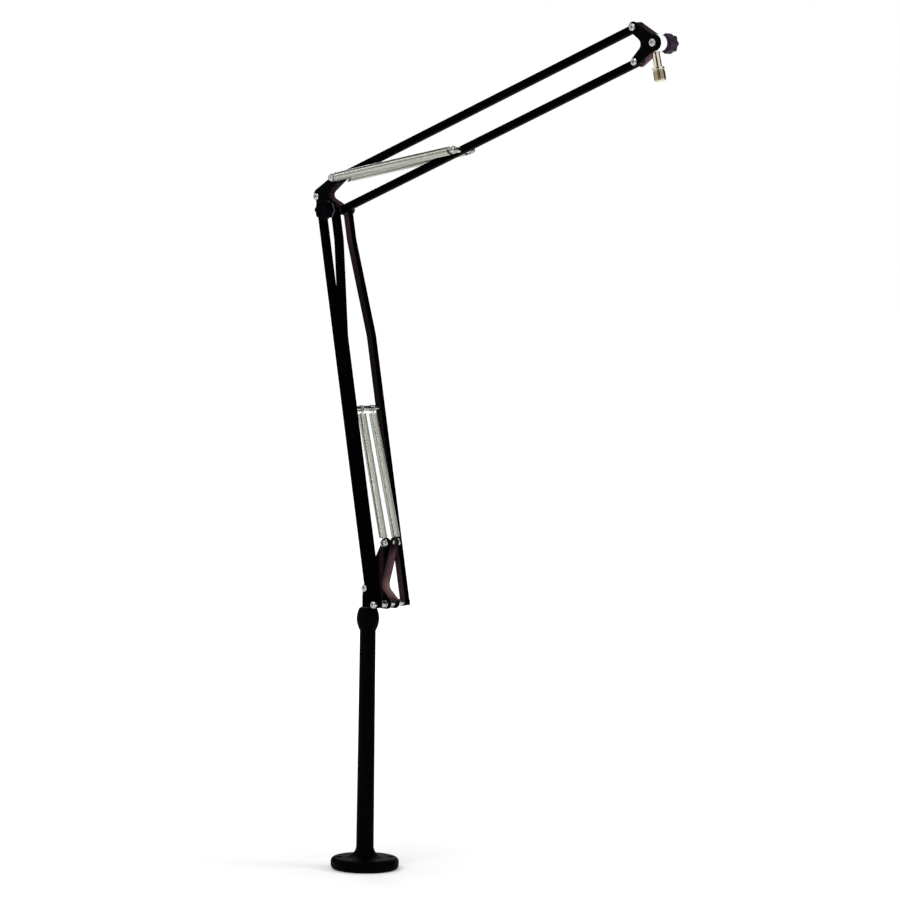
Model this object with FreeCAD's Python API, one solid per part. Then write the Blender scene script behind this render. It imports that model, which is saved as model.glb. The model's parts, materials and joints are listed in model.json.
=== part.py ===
import FreeCAD, Part
import os
from math import asin, atan2, cos, hypot, pi, radians, sin, sqrt, tan
from FreeCAD import Vector

# A balanced boom arm for a microphone: a screwed-down riser, a swivelling bracket, two
# parallelogram arms of square tube with counterbalance springs, and a threaded stud.
# Origin at the centre of the flange's underside, +Z up, +X the way the boom reaches.
# All lengths in millimetres.

# Riser
flange_dia = 94.0
flange_thick = 16.5
flange_rim_radius = 6.0
flange_hole_count = 4
flange_hole_pcd = 70.0
flange_hole_dia = 5.5
flange_sink_dia = 10.0
column_height = 329.7
column_foot_dia = 24.2
column_top_dia = 21.0
column_flare_radius = 15.5
collar_height = 31.7
collar_foot_dia = 22.0
collar_belly_dia = 31.0
collar_mouth_dia = 24.0
tenon_dia = 17.2
tenon_height = 10.0

# Swivel
spigot_dia = 12.7
spigot_socket_depth = 30.0
bush_wall = 1.6
bush_flange_dia = 19.0
bush_flange_thick = 1.2
hub_dia = 16.4
hub_height = 18.0

# Square tube arms, pivot to pivot
tube_side = 9.525
tube_wall = 1.2
lower_length = 544.0
upper_length = 544.0
lower_lean_deg = 10.54
upper_rise_deg = 21.09
tube_end_main = 5.4
tube_end_link = 6.0
plug_flange = 1.0

# Main pair of the lower arm: wide at the base, drawn in at the elbow
pair_half_base = 29.07
pair_half_elbow = 13.04
pair_bend_from_elbow = 175.0
pair_straight_at_elbow = 41.0
pair_bend_radius = 60.0

# Pivot places: base axle from the swivel axis and the collar's top, then the parallelogram offsets
base_axle_x = 41.4
base_axle_rise = 9.3
rear_offset_x = -39.7
rear_offset_z = 18.25
top_offset_x = -3.72
top_offset_z = 44.56

# Bracket plates
plate_thick = 1.8
base_plate_gap = 15.0
elbow_plate_gap = 11.2
head_plate_gap = 13.0
base_lobe_radius = 7.6
base_tip_radius = 7.5
rear_lobe_radius = 4.2
foot_corner_radius = 3.0
base_waist_radius = 12.0
base_waist_x = 1.3
base_waist_z = 25.3
elbow_lobe_radius = 7.2
elbow_top_radius = 6.2
elbow_back_radius = 8.0
elbow_back_lead = 2.5
elbow_back_rise = 3.0
elbow_waist_radius = 6.0
elbow_waist_x = -13.4
elbow_waist_z = 21.4
head_heel_radius = 6.3
head_crown_radius = 7.3
head_taper_radius = 7.5
head_nose_radius = 10.8
head_nose_x = 30.7
head_nose_z = 24.0
head_waist_radius = 8.2
head_waist_x = 0.8
head_waist_z = 22.1

# Axles and screws
axle_dia = 6.35
pivot_dia = 5.0
head_bolt_dia = 6.0
axle_head_dia = 9.6
screw_head_dia = 9.6
pin_head_dia = 8.4
screw_head_height = 3.2
axle_head_height = 5.6
nut_across = 9.5
plate_nut_thick = 5.0
elbow_nut_thick = 3.0
pivot_nut_across = 8.0
pivot_nut_thick = 4.0
bolt_end = 1.0
axle_cap_height = 1.0
sleeve_dia = 9.4
washer_dia = 11.0
washer_thick = 1.2
socket_head_dia = 10.0
socket_head_height = 4.0
socket_across = 4.0
socket_depth = 2.2

# Knobs
knob_dia = 26.4
knob_thick = 14.0
knob_lobes = 8
knob_lobe_radius = 2.6
knob_edge = 1.6
knob_boss_dia = 17.0
elbow_boss_height = 8.4
head_boss_height = 6.4
knob_bore_depth = 12.0

# Microphone swivel
stud_tilt_deg = 13.3
stud_set_back = 5.6
stud_shaft_dia = 10.2
stud_shoulder_at = 31.0
stud_shoulder_length = 3.0
stud_neck_length = 1.2
stud_neck_dia = 13.6
stud_thread_dia = 15.875
stud_thread_length = 13.6
stud_thread_edge = 0.9
stud_seat_depth = 4.0

# Springs and what they hook on
wire_dia = 1.5
coil_dia = 11.8
spring_curls = 16
wire_sides = 4
groove_dia = 6.0
cheek_dia = 9.2
cheek_thick = 1.2
lower_spring_y_foot = 13.0
lower_spring_y_top = 11.2
lower_pin_from_axle = 269.0
spring_pin_dia = 5.0
pin_sleeve_dia = 7.6
upper_spring_y = 17.4
upper_pin_from_axle = 229.6
stud_tip_x = -2.5
stud_tip_z = 82.5
hook_radius = 5.1
hook_opening_deg = 40.0
hook_leave_deg = 330.0
hook_neck = 0.6
lead_in = 5.0

# Clearances
fit_gap = 0.02
run_gap = 0.06
side_gap = 0.3
foot_gap = 0.8
hook_gap = 0.35
touching = 1e-6


# Derived places, all in the plane of the arm, as (x, z)
def along(start, length, lean_deg):
    return (start[0] + length * sin(radians(lean_deg)), start[1] + length * cos(radians(lean_deg)))


def offset(start, dx, dz):
    return (start[0] + dx, start[1] + dz)


lower_turn = -lower_lean_deg
upper_turn = 90.0 - upper_rise_deg
column_top_z = column_height
collar_top_z = column_top_z + collar_height
BASE = (base_axle_x, collar_top_z + base_axle_rise)
REAR = offset(BASE, rear_offset_x, rear_offset_z)
TIP = offset(BASE, stud_tip_x, stud_tip_z)
ELBOW = along(BASE, lower_length, lower_turn)
ELBOW_REAR = offset(ELBOW, rear_offset_x, rear_offset_z)
ELBOW_TOP = offset(ELBOW, top_offset_x, top_offset_z)
HEAD = along(ELBOW, upper_length, upper_turn)
HEAD_TOP = offset(HEAD, top_offset_x, top_offset_z)
NOSE = offset(HEAD, head_nose_x, head_nose_z)
LOWER_PIN = along(BASE, lower_pin_from_axle, lower_turn)
UPPER_PIN = along(ELBOW, upper_pin_from_axle, upper_turn)

tube_half = tube_side / 2
hub_foot_z = collar_top_z + bush_flange_thick + side_gap
foot_x = rear_offset_x - rear_lobe_radius + foot_corner_radius
foot_z = hub_foot_z + foot_gap - BASE[1] + foot_corner_radius
base_inner = base_plate_gap / 2
base_outer = base_inner + plate_thick
elbow_inner = elbow_plate_gap / 2
elbow_outer = elbow_inner + plate_thick
head_inner = head_plate_gap / 2
head_outer = head_inner + plate_thick
pair_base_inner = pair_half_base - tube_half
pair_base_outer = pair_half_base + tube_half
pair_elbow_inner = pair_half_elbow - tube_half
pair_elbow_outer = pair_half_elbow + tube_half
elbow_seat = pair_elbow_outer + side_gap
elbow_knob_seat = elbow_seat + washer_thick + side_gap
head_knob_seat = head_outer + side_gap
hook_lift = hook_radius - groove_dia / 2 - hook_gap - wire_dia / 2
groove_half = wire_dia / 2 + hook_gap
cheek_out = groove_half + cheek_thick


# Shape helpers
def rod(at, y0, y1, dia):
    """Round bar along Y between two stations, at a place (x, z)."""
    return Part.makeCylinder(dia / 2, abs(y1 - y0), Vector(at[0], min(y0, y1), at[1]), Vector(0, 1, 0))


def ring(at, y0, y1, dia, bore):
    return rod(at, y0, y1, dia).cut(rod(at, y0, y1, bore))


def turned(profile):
    """Solid of revolution about Z from a closed chain of edges in the XZ plane."""
    return Part.Face(Part.Wire(profile)).revolve(Vector(0, 0, 0), Vector(0, 0, 1), 360)


def line(a, b):
    return Part.LineSegment(Vector(a[0], 0, a[1]), Vector(b[0], 0, b[1])).toShape()


def arc(a, mid, b):
    points = [Vector(p[0], 0, p[1]) for p in (a, mid, b)]
    return Part.Arc(*points).toShape()


def polygon_edges(points):
    return [line(a, b) for a, b in zip(points, points[1:] + points[:1])]


def lobed_face(lobes):
    """Outline that runs anticlockwise round circles (x, z, r) and along the lines that touch
    them. A negative radius passes its circle on the other side, as a hollow waist."""
    headings = []
    for (x1, z1, r1), (x2, z2, r2) in zip(lobes, lobes[1:] + lobes[:1]):
        span = hypot(x2 - x1, z2 - z1)
        headings.append(atan2(z2 - z1, x2 - x1) + asin((r1 - r2) / span))

    def touch(lobe, heading):
        x, z, r = lobe
        return (x + r * sin(heading), z - r * cos(heading))

    edges = []
    for i, lobe in enumerate(lobes):
        came, goes = headings[i - 1], headings[i]
        turn = (goes - came) % (2 * pi)
        if lobe[2] < 0:
            turn -= 2 * pi
        edges.append(arc(touch(lobe, came), touch(lobe, came + turn / 2), touch(lobe, goes)))
        following = lobes[(i + 1) % len(lobes)]
        edges.append(line(touch(lobe, goes), touch(following, goes)))
    return Part.Face(Part.Wire(edges))


def slab(face, y0, y1):
    """Plate of a face drawn in the XZ plane, between two stations along Y."""
    solid = face.extrude(Vector(0, y1 - y0, 0))
    solid.translate(Vector(0, y0, 0))
    return solid


def plate(lobes, inner, side, holes):
    """Bracket plate on one side of the centre plane, with its holes (place, diameter)."""
    solid = slab(lobed_face(lobes), side * inner, side * (inner + plate_thick))
    for at, dia in holes:
        reach = inner + 2 * plate_thick
        solid = solid.cut(rod(at, -reach, reach, dia))
    return solid


def hex_prism(at, y0, y1, across):
    corner = across / sqrt(3)
    angles = [radians(60 * k) for k in range(6)]
    points = [(at[0] + corner * cos(a), at[1] + corner * sin(a)) for a in angles]
    return slab(Part.Face(Part.Wire(polygon_edges(points))), min(y0, y1), max(y0, y1))


def nut(at, y0, y1, across, bore):
    return hex_prism(at, y0, y1, across).cut(rod(at, y0, y1, bore))


def pan_head(at, y_seat, side, dia, height):
    """Screw head standing on a seat, its rim rounded off to a low crown."""
    r = dia / 2
    crown = height / 3
    wall = height - crown
    sphere = (r * r + crown * crown) / (2 * crown)
    half = asin(r / sphere) / 2
    edges = [
        line((0, 0), (r, 0)),
        line((r, 0), (r, wall)),
        arc((r, wall), (sphere * sin(half), height - sphere * (1 - cos(half))), (0, height)),
        line((0, height), (0, 0)),
    ]
    solid = turned(edges)
    solid.rotate(Vector(0, 0, 0), Vector(1, 0, 0), -90 * side)
    solid.translate(Vector(at[0], y_seat, at[1]))
    return solid


def in_arm(solid, start, turn):
    """Set a piece drawn along Z from the origin onto an arm that leans by a turn about Y."""
    solid.Placement = FreeCAD.Placement(
        Vector(start[0], 0, start[1]), FreeCAD.Rotation(Vector(0, 1, 0), turn)
    )
    return solid


def square_bar(z0, z1, y, side):
    return Part.makeBox(side, side, z1 - z0, Vector(-side / 2, y - side / 2, z0))


def straight_tube(length, end, pivots):
    """Square tube drawn along Z past its pivots, open at both ends, cross-drilled on Y."""
    lo = plug_flange - end
    hi = length + end - plug_flange
    solid = square_bar(lo, hi, 0, tube_side)
    solid = solid.cut(square_bar(lo, hi, 0, tube_side - 2 * tube_wall))
    for z, dia in pivots:
        solid = solid.cut(rod((0, z), -tube_side, tube_side, dia))
    return solid


def tube_plug(pivot_z, end, into, y):
    """Plastic plug: a square flange on the tube's mouth and a shank that stops at the axle."""
    shank = tube_side - 2 * tube_wall - 2 * fit_gap
    tip = pivot_z - into * end
    mouth = tip + into * plug_flange
    deep = pivot_z - into * (axle_dia / 2 + side_gap)
    flange = square_bar(min(tip, mouth), max(tip, mouth), y, tube_side)
    return flange.fuse(square_bar(min(mouth, deep), max(mouth, deep), y, shank)).removeSplitter()


def strip_face(path, half, bend_radius):
    """Outline of a strip of even width along a bent path of points (y, z), bends as arcs."""
    sides = []
    for sign in (1, -1):
        corners = []
        for i in range(1, len(path) - 1):
            a = atan2(path[i][1] - path[i - 1][1], path[i][0] - path[i - 1][0])
            b = atan2(path[i + 1][1] - path[i][1], path[i + 1][0] - path[i][0])
            mid = (a + b) / 2
            reach = sign * half / cos((b - a) / 2)
            corner = (path[i][0] - reach * sin(mid), path[i][1] + reach * cos(mid))
            turn = b - a
            radius = bend_radius - sign * half * (1 if turn > 0 else -1)
            corners.append((corner, a, b, radius))
        sides.append(corners)

    def end_point(i, j, sign):
        a = atan2(path[j][1] - path[i][1], path[j][0] - path[i][0])
        at = path[i] if i == 0 else path[j]
        return (at[0] - sign * half * sin(a), at[1] + sign * half * cos(a))

    def run(sign, corners):
        last = end_point(0, 1, sign)
        edges = []
        for corner, a, b, radius in corners:
            back = radius * tan(abs(b - a) / 2)
            start = (corner[0] - back * cos(a), corner[1] - back * sin(a))
            finish = (corner[0] + back * cos(b), corner[1] + back * sin(b))
            bulge = radius / cos((b - a) / 2) - radius
            inward = (a + b) / 2 + (pi / 2 if b > a else -pi / 2)
            mid = (corner[0] + bulge * cos(inward), corner[1] + bulge * sin(inward))
            edges.append(line(last, start))
            edges.append(arc(start, mid, finish))
            last = finish
        tail = end_point(len(path) - 2, len(path) - 1, sign)
        edges.append(line(last, tail))
        return edges

    left = run(1, sides[0])
    right = run(-1, sides[1])
    caps = [
        line(end_point(0, 1, 1), end_point(0, 1, -1)),
        line(end_point(len(path) - 2, len(path) - 1, 1), end_point(len(path) - 2, len(path) - 1, -1)),
    ]
    return Part.Face(Part.Wire(Part.__sortEdges__(left + right + caps)))


def bent_tube(side_sign):
    """One tube of the main pair, drawn along Z: straight, drawn in, then straight again."""
    bend = lower_length - pair_bend_from_elbow
    straight = lower_length - pair_straight_at_elbow
    path = [
        (side_sign * pair_half_base, plug_flange - tube_end_main),
        (side_sign * pair_half_base, bend),
        (side_sign * pair_half_elbow, straight),
        (side_sign * pair_half_elbow, lower_length + tube_end_main - plug_flange),
    ]
    outer = slab(strip_face(path, tube_half, pair_bend_radius), -tube_half, tube_half)
    core = tube_half - tube_wall
    inner = slab(strip_face(path, core, pair_bend_radius), -core, core)
    solid = outer.cut(inner)
    solid.rotate(Vector(0, 0, 0), Vector(0, 0, 1), 90)
    reach = 2 * pair_half_base
    for z in (0, lower_length):
        solid = solid.cut(rod((0, z), -reach, reach, axle_dia + 2 * run_gap))
    blind = pair_base_outer - tube_wall
    return solid.cut(rod((0, lower_pin_from_axle), -blind, blind, spring_pin_dia + 2 * fit_gap))


# Riser
def riser_column():
    r = flange_dia / 2
    rim = flange_rim_radius
    bend = rim * (1 - cos(pi / 4))
    foot = column_foot_dia / 2
    flare = column_flare_radius
    flare_bend = flare * (1 - cos(pi / 4))
    top = column_top_dia / 2
    tenon = tenon_dia / 2 - fit_gap
    profile = [
        line((0, 0), (r - rim, 0)),
        arc((r - rim, 0), (r - bend, bend), (r, rim)),
        line((r, rim), (r, flange_thick - rim)),
        arc((r, flange_thick - rim), (r - bend, flange_thick - bend), (r - rim, flange_thick)),
        line((r - rim, flange_thick), (foot + flare, flange_thick)),
        arc(
            (foot + flare, flange_thick),
            (foot + flare_bend, flange_thick + flare_bend),
            (foot, flange_thick + flare),
        ),
        line((foot, flange_thick + flare), (top, column_top_z)),
        line((top, column_top_z), (tenon, column_top_z)),
        line((tenon, column_top_z), (tenon, column_top_z + tenon_height)),
        line((tenon, column_top_z + tenon_height), (0, column_top_z + tenon_height)),
        line((0, column_top_z + tenon_height), (0, 0)),
    ]
    solid = turned(profile)
    socket_foot = column_top_z - spigot_socket_depth
    bore = spigot_dia / 2 + run_gap
    socket_height = spigot_socket_depth + tenon_height
    solid = solid.cut(Part.makeCylinder(bore, socket_height, Vector(0, 0, socket_foot)))
    sink = (flange_sink_dia - flange_hole_dia) / 2
    for k in range(flange_hole_count):
        turn = 2 * pi * (k + 0.5) / flange_hole_count
        x = flange_hole_pcd / 2 * cos(turn)
        y = flange_hole_pcd / 2 * sin(turn)
        hole = Part.makeCylinder(flange_hole_dia / 2, flange_thick, Vector(x, y, 0))
        cone = Part.makeCone(
            flange_hole_dia / 2, flange_sink_dia / 2, sink, Vector(x, y, flange_thick - sink)
        )
        solid = solid.cut(hole).cut(cone)
    return solid


def swivel_collar():
    foot = collar_foot_dia / 2
    belly = collar_belly_dia / 2
    mouth = collar_mouth_dia / 2
    socket = tenon_dia / 2
    bore = spigot_dia / 2 + run_gap + bush_wall + fit_gap
    tenon_top = column_top_z + tenon_height
    return turned(
        [
            line((socket, column_top_z), (foot, column_top_z)),
            arc((foot, column_top_z), (belly, column_top_z + collar_height / 2), (mouth, collar_top_z)),
            line((mouth, collar_top_z), (bore, collar_top_z)),
            line((bore, collar_top_z), (bore, tenon_top)),
            line((bore, tenon_top), (socket, tenon_top)),
            line((socket, tenon_top), (socket, column_top_z)),
        ]
    )


def swivel_bush():
    bore = spigot_dia / 2 + run_gap
    wall = bore + bush_wall
    flange = bush_flange_dia / 2
    foot = column_top_z + tenon_height
    top = collar_top_z + bush_flange_thick
    points = [
        (bore, foot),
        (wall, foot),
        (wall, collar_top_z),
        (flange, collar_top_z),
        (flange, top),
        (bore, top),
    ]
    return turned(polygon_edges(points))


# Base bracket
def swivel_spindle():
    hub = Part.makeCylinder(hub_dia / 2, hub_height, Vector(0, 0, hub_foot_z))
    flat_foot = BASE[1] - base_lobe_radius
    for side in (1, -1):
        waste = Part.makeBox(hub_dia, hub_dia, hub_height, Vector(-hub_dia / 2, 0, flat_foot))
        waste.translate(Vector(0, base_inner if side > 0 else -base_inner - hub_dia, 0))
        hub = hub.cut(waste)
    spigot_foot = column_top_z - spigot_socket_depth + side_gap
    spigot = Part.makeCylinder(spigot_dia / 2, hub_foot_z - spigot_foot, Vector(0, 0, spigot_foot))
    return hub.fuse(spigot).removeSplitter()


def base_plate(side):
    lobes = [
        (*BASE, base_lobe_radius),
        (*offset(BASE, base_waist_x, base_waist_z), -base_waist_radius),
        (*TIP, base_tip_radius),
        (*REAR, rear_lobe_radius),
        (*offset(BASE, foot_x, foot_z), foot_corner_radius),
    ]
    holes = [
        (BASE, axle_dia + 2 * fit_gap),
        (REAR, pivot_dia + 2 * fit_gap),
        (TIP, pivot_dia + 2 * fit_gap),
    ]
    return plate(lobes, base_inner, side, holes)


def base_axle():
    """Axle through plates and bars: a pan head on the near bar, riveted over flat on the far one."""
    seat = pair_base_outer + side_gap
    shank = rod(BASE, -seat, seat, axle_dia)
    head = pan_head(BASE, -seat, -1, axle_head_dia, axle_head_height)
    cap = pan_head(BASE, seat, 1, axle_head_dia, axle_cap_height)
    return shank.fuse([head, cap]).removeSplitter()


def base_axle_nuts():
    bore = axle_dia + 2 * fit_gap
    finish = base_outer + plate_nut_thick
    return [nut(BASE, s * base_outer, s * finish, nut_across, bore) for s in (1, -1)]


def base_axle_sleeves():
    bore = axle_dia + 2 * fit_gap
    start = base_outer + plate_nut_thick
    finish = pair_base_inner - side_gap - washer_thick
    return [ring(BASE, s * start, s * finish, sleeve_dia, bore) for s in (1, -1)]


def base_axle_washers():
    bore = axle_dia + 2 * fit_gap
    seat = pair_base_inner - side_gap
    return [ring(BASE, s * (seat - washer_thick), s * seat, sleeve_dia, bore) for s in (1, -1)]


def base_plate_spacer():
    return ring(BASE, -base_inner, base_inner, sleeve_dia, axle_dia + 2 * fit_gap)


def pivot_screw(at, outer):
    """Screw through a pair of plates: pan head on the near side, shank out to its nut."""
    shank = rod(at, -outer, outer + pivot_nut_thick + bolt_end, pivot_dia)
    return shank.fuse(pan_head(at, -outer, -1, screw_head_dia, screw_head_height)).removeSplitter()


def pivot_nut(at, outer):
    return nut(at, outer, outer + pivot_nut_thick, pivot_nut_across, pivot_dia + 2 * fit_gap)


def pivot_washers(at, inner):
    """Nylon washers that fill the room between a tube and the plates either side of it."""
    bore = pivot_dia + 2 * fit_gap
    return [ring(at, s * (tube_half + side_gap), s * inner, sleeve_dia, bore) for s in (1, -1)]


def spring_stud(side):
    """Shouldered stud on a base plate's tip, grooved for a spring's hook."""
    y = lower_spring_y_foot
    shank = rod(TIP, side * base_inner, side * (y + cheek_out), pivot_dia)
    inner_cheek = rod(TIP, side * base_outer, side * (y - groove_half), cheek_dia)
    core = rod(TIP, side * base_outer, side * (y + cheek_out), groove_dia)
    head = pan_head(TIP, side * (y + groove_half), side, cheek_dia, screw_head_height)
    return shank.fuse([inner_cheek, core, head]).removeSplitter()


# Lower arm
def lower_tube_plugs():
    plugs = []
    for side in (1, -1):
        plugs.append(tube_plug(0, tube_end_main, 1, side * pair_half_base))
        plugs.append(tube_plug(lower_length, tube_end_main, -1, side * pair_half_elbow))
    return [in_arm(p, BASE, lower_turn) for p in plugs]


def lower_spring_pin():
    reach = pair_base_outer - tube_wall
    return rod(LOWER_PIN, -reach, reach, spring_pin_dia)


def lower_pin_sleeves():
    bore = spring_pin_dia + 2 * fit_gap
    inner = lower_spring_y_top - cheek_out - side_gap
    outer = lower_spring_y_top + cheek_out + side_gap
    sleeves = [ring(LOWER_PIN, -inner, inner, pin_sleeve_dia, bore)]
    for s in (1, -1):
        sleeves.append(ring(LOWER_PIN, s * outer, s * pair_base_inner, pin_sleeve_dia, bore))
    return sleeves


def grooved_roller(at, y, bore):
    body = rod(at, y - cheek_out, y + cheek_out, cheek_dia)
    body = body.cut(ring(at, y - groove_half, y + groove_half, cheek_dia + side_gap, groove_dia))
    return body.cut(rod(at, y - cheek_out, y + cheek_out, bore))


# Elbow
def elbow_plate(side):
    lobes = [
        (*ELBOW, elbow_lobe_radius),
        (*offset(ELBOW, elbow_waist_x, elbow_waist_z), -elbow_waist_radius),
        (*ELBOW_TOP, elbow_top_radius),
        (*offset(ELBOW_REAR, elbow_back_lead, elbow_back_rise), elbow_back_radius),
    ]
    holes = [
        (ELBOW, axle_dia + 2 * fit_gap),
        (ELBOW_TOP, groove_dia + 2 * fit_gap),
        (ELBOW_REAR, pivot_dia + 2 * fit_gap),
    ]
    return plate(lobes, elbow_inner, side, holes)


def elbow_axle():
    near = elbow_knob_seat + elbow_boss_height + knob_bore_depth - knob_edge
    far = elbow_seat + washer_thick + elbow_nut_thick
    return rod(ELBOW, -near, far, axle_dia)


def elbow_axle_nut():
    seat = elbow_seat + washer_thick
    return nut(ELBOW, seat, seat + elbow_nut_thick, nut_across, axle_dia + 2 * fit_gap)


def elbow_washers():
    bore = axle_dia + 2 * fit_gap
    rings = [ring(ELBOW, s * elbow_seat, s * (elbow_seat + washer_thick), washer_dia, bore) for s in (1, -1)]
    shim = pair_elbow_inner - side_gap
    return rings + [ring(ELBOW, s * elbow_outer, s * shim, washer_dia, bore) for s in (1, -1)]


def spring_axle():
    """Axle at the elbow's top pivot, reaching out both sides to the springs' hooks."""
    reach = upper_spring_y + cheek_out
    shank = rod(ELBOW_TOP, -reach, reach, groove_dia)
    cheeks = []
    for s in (1, -1):
        cheeks.append(rod(ELBOW_TOP, s * (upper_spring_y + groove_half), s * reach, cheek_dia))
    return shank.fuse(cheeks).removeSplitter()


def spring_axle_sleeves():
    bore = groove_dia + 2 * fit_gap
    finish = upper_spring_y - groove_half
    return [ring(ELBOW_TOP, s * elbow_outer, s * finish, cheek_dia, bore) for s in (1, -1)]


# Knobs
def lobed_knob(at, y_seat, side, boss_height, bore):
    """Clamping knob: a scalloped grip with broken edges on a round boss."""
    r = knob_dia / 2
    ring_r = r - knob_lobe_radius
    lobes = []
    for k in range(2 * knob_lobes):
        turn = pi * k / knob_lobes
        bulge = knob_lobe_radius if k % 2 == 0 else -knob_lobe_radius
        out = ring_r if k % 2 == 0 else r + knob_edge
        lobes.append((at[0] + out * cos(turn), at[1] + out * sin(turn), bulge))
    start = boss_height
    finish = boss_height + knob_thick
    grip = slab(lobed_face(lobes), start, finish)
    points = [
        (0, start),
        (r - knob_edge, start),
        (r, start + knob_edge),
        (r, finish - knob_edge),
        (r - knob_edge, finish),
        (0, finish),
    ]
    turned_body = turned(polygon_edges(points))
    turned_body.rotate(Vector(0, 0, 0), Vector(1, 0, 0), -90)
    turned_body.translate(Vector(at[0], 0, at[1]))
    knob = grip.common(turned_body).fuse(rod(at, 0, start, knob_boss_dia))
    knob = knob.cut(rod(at, 0, boss_height + knob_bore_depth, bore))
    if side < 0:
        knob.rotate(Vector(at[0], 0, at[1]), Vector(0, 0, 1), 180)
    knob.translate(Vector(0, side * y_seat, 0))
    return knob


# Head and microphone swivel
def head_plate(side):
    """Forked plate whose edges run to a round nose that stands out past them."""
    lobes = [
        (*NOSE, head_taper_radius),
        (*HEAD_TOP, head_crown_radius),
        (*offset(HEAD, head_waist_x, head_waist_z), -head_waist_radius),
        (*HEAD, head_heel_radius),
    ]
    holes = [
        (HEAD, pivot_dia + 2 * fit_gap),
        (HEAD_TOP, pivot_dia + 2 * fit_gap),
    ]
    nose = rod(NOSE, side * head_inner, side * head_outer, 2 * head_nose_radius)
    solid = plate(lobes, head_inner, side, holes).fuse(nose).removeSplitter()
    return solid.cut(rod(NOSE, -head_outer, head_outer, head_bolt_dia + 2 * fit_gap))


def head_clamp_bolt():
    """Socket-head bolt through the nose of the head, into the far knob."""
    finish = head_knob_seat + head_boss_height + knob_bore_depth - knob_edge
    shank = rod(NOSE, -head_outer, finish, head_bolt_dia)
    top = head_outer + socket_head_height
    bolt = shank.fuse(rod(NOSE, -top, -head_outer, socket_head_dia))
    return bolt.cut(hex_prism(NOSE, -top, -top + socket_depth, socket_across))


def stud_frame(solid):
    """Set a piece drawn up along Z so that it hangs from the nose axis at the stud's tilt."""
    hang = FreeCAD.Placement(
        Vector(NOSE[0], 0, NOSE[1]), FreeCAD.Rotation(Vector(0, 1, 0), 180 - stud_tilt_deg)
    )
    solid.Placement = hang.multiply(solid.Placement)
    return solid


def swivel_barrel():
    half = head_inner - side_gap
    barrel = rod((0, 0), -half, half, 2 * head_nose_radius)
    barrel = barrel.cut(rod((0, 0), -half, half, head_bolt_dia + 2 * run_gap))
    seat = head_nose_radius - stud_seat_depth
    pocket = Vector(stud_set_back, 0, seat)
    hole = Part.makeCylinder(stud_shaft_dia / 2 + fit_gap, head_nose_radius, pocket)
    return stud_frame(barrel.cut(hole))


def mic_stud():
    shaft = stud_shaft_dia / 2
    neck = stud_neck_dia / 2
    thread = stud_thread_dia / 2
    foot = head_nose_radius - stud_seat_depth
    shoulder = stud_shoulder_at + stud_shoulder_length
    thread_foot = shoulder + stud_neck_length
    finish = thread_foot + stud_thread_length
    points = [
        (0, foot),
        (shaft, foot),
        (shaft, stud_shoulder_at),
        (thread, stud_shoulder_at),
        (thread, shoulder),
        (neck, shoulder),
        (neck, thread_foot),
        (thread, thread_foot),
        (thread, finish - stud_thread_edge),
        (thread - stud_thread_edge, finish),
        (0, finish),
    ]
    stud = turned(polygon_edges(points))
    stud.translate(Vector(stud_set_back, 0, 0))
    return stud_frame(stud)


# Upper arm
def upper_lower_tube():
    pivots = [
        (0, axle_dia + 2 * run_gap),
        (upper_pin_from_axle, spring_pin_dia + 2 * fit_gap),
        (upper_length, pivot_dia + 2 * run_gap),
    ]
    return in_arm(straight_tube(upper_length, tube_end_link, pivots), ELBOW, upper_turn)


def upper_upper_tube():
    pivots = [(0, groove_dia + 2 * run_gap), (upper_length, pivot_dia + 2 * run_gap)]
    return in_arm(straight_tube(upper_length, tube_end_link, pivots), ELBOW_TOP, upper_turn)


def rear_link_tube():
    pivots = [(0, pivot_dia + 2 * run_gap), (lower_length, pivot_dia + 2 * run_gap)]
    return in_arm(straight_tube(lower_length, tube_end_link, pivots), REAR, lower_turn)


def link_plugs(start, length, turn):
    plugs = [tube_plug(0, tube_end_link, 1, 0), tube_plug(length, tube_end_link, -1, 0)]
    return [in_arm(p, start, turn) for p in plugs]


def upper_spring_pin():
    roller_out = upper_spring_y + cheek_out + side_gap
    shank = rod(UPPER_PIN, -roller_out, roller_out, spring_pin_dia)
    heads = [pan_head(UPPER_PIN, s * roller_out, s, pin_head_dia, screw_head_height) for s in (1, -1)]
    return shank.fuse(heads).removeSplitter()


def upper_pin_sleeves():
    bore = spring_pin_dia + 2 * fit_gap
    finish = upper_spring_y - cheek_out - side_gap
    return [ring(UPPER_PIN, s * tube_half, s * finish, pin_sleeve_dia, bore) for s in (1, -1)]


# Springs: one wire each, hooked over a grooved pin at both ends
def biarc(p1, t1, p2, t2):
    """Two arcs that join two points with given headings smoothly."""
    v = p2 - p1
    both = t1 + t2
    spread = 2 * (1 - t1.dot(t2))
    if spread < touching ** 2:
        reach = v.dot(v) / (4 * v.dot(t2))
    else:
        reach = (-v.dot(both) + sqrt(v.dot(both) ** 2 + spread * v.dot(v))) / spread
    q1 = p1 + t1 * reach
    q2 = p2 - t2 * reach
    middle = (q1 + q2) * 0.5
    return [bow(p1, q1, middle), bow(middle, q2, p2)]


def bow(start, apex, finish):
    """Arc that touches the two legs of an even-sided corner, or a line where they lie straight."""
    chord = finish - start
    base = (start + finish) * 0.5
    rise = apex - base
    if rise.Length < touching:
        return Part.LineSegment(start, finish).toShape()
    lean = atan2(rise.Length, chord.Length / 2)
    sagitta = chord.Length / 2 * tan(lean / 2)
    return Part.Arc(start, base + rise * (sagitta / rise.Length), finish).toShape()


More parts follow.
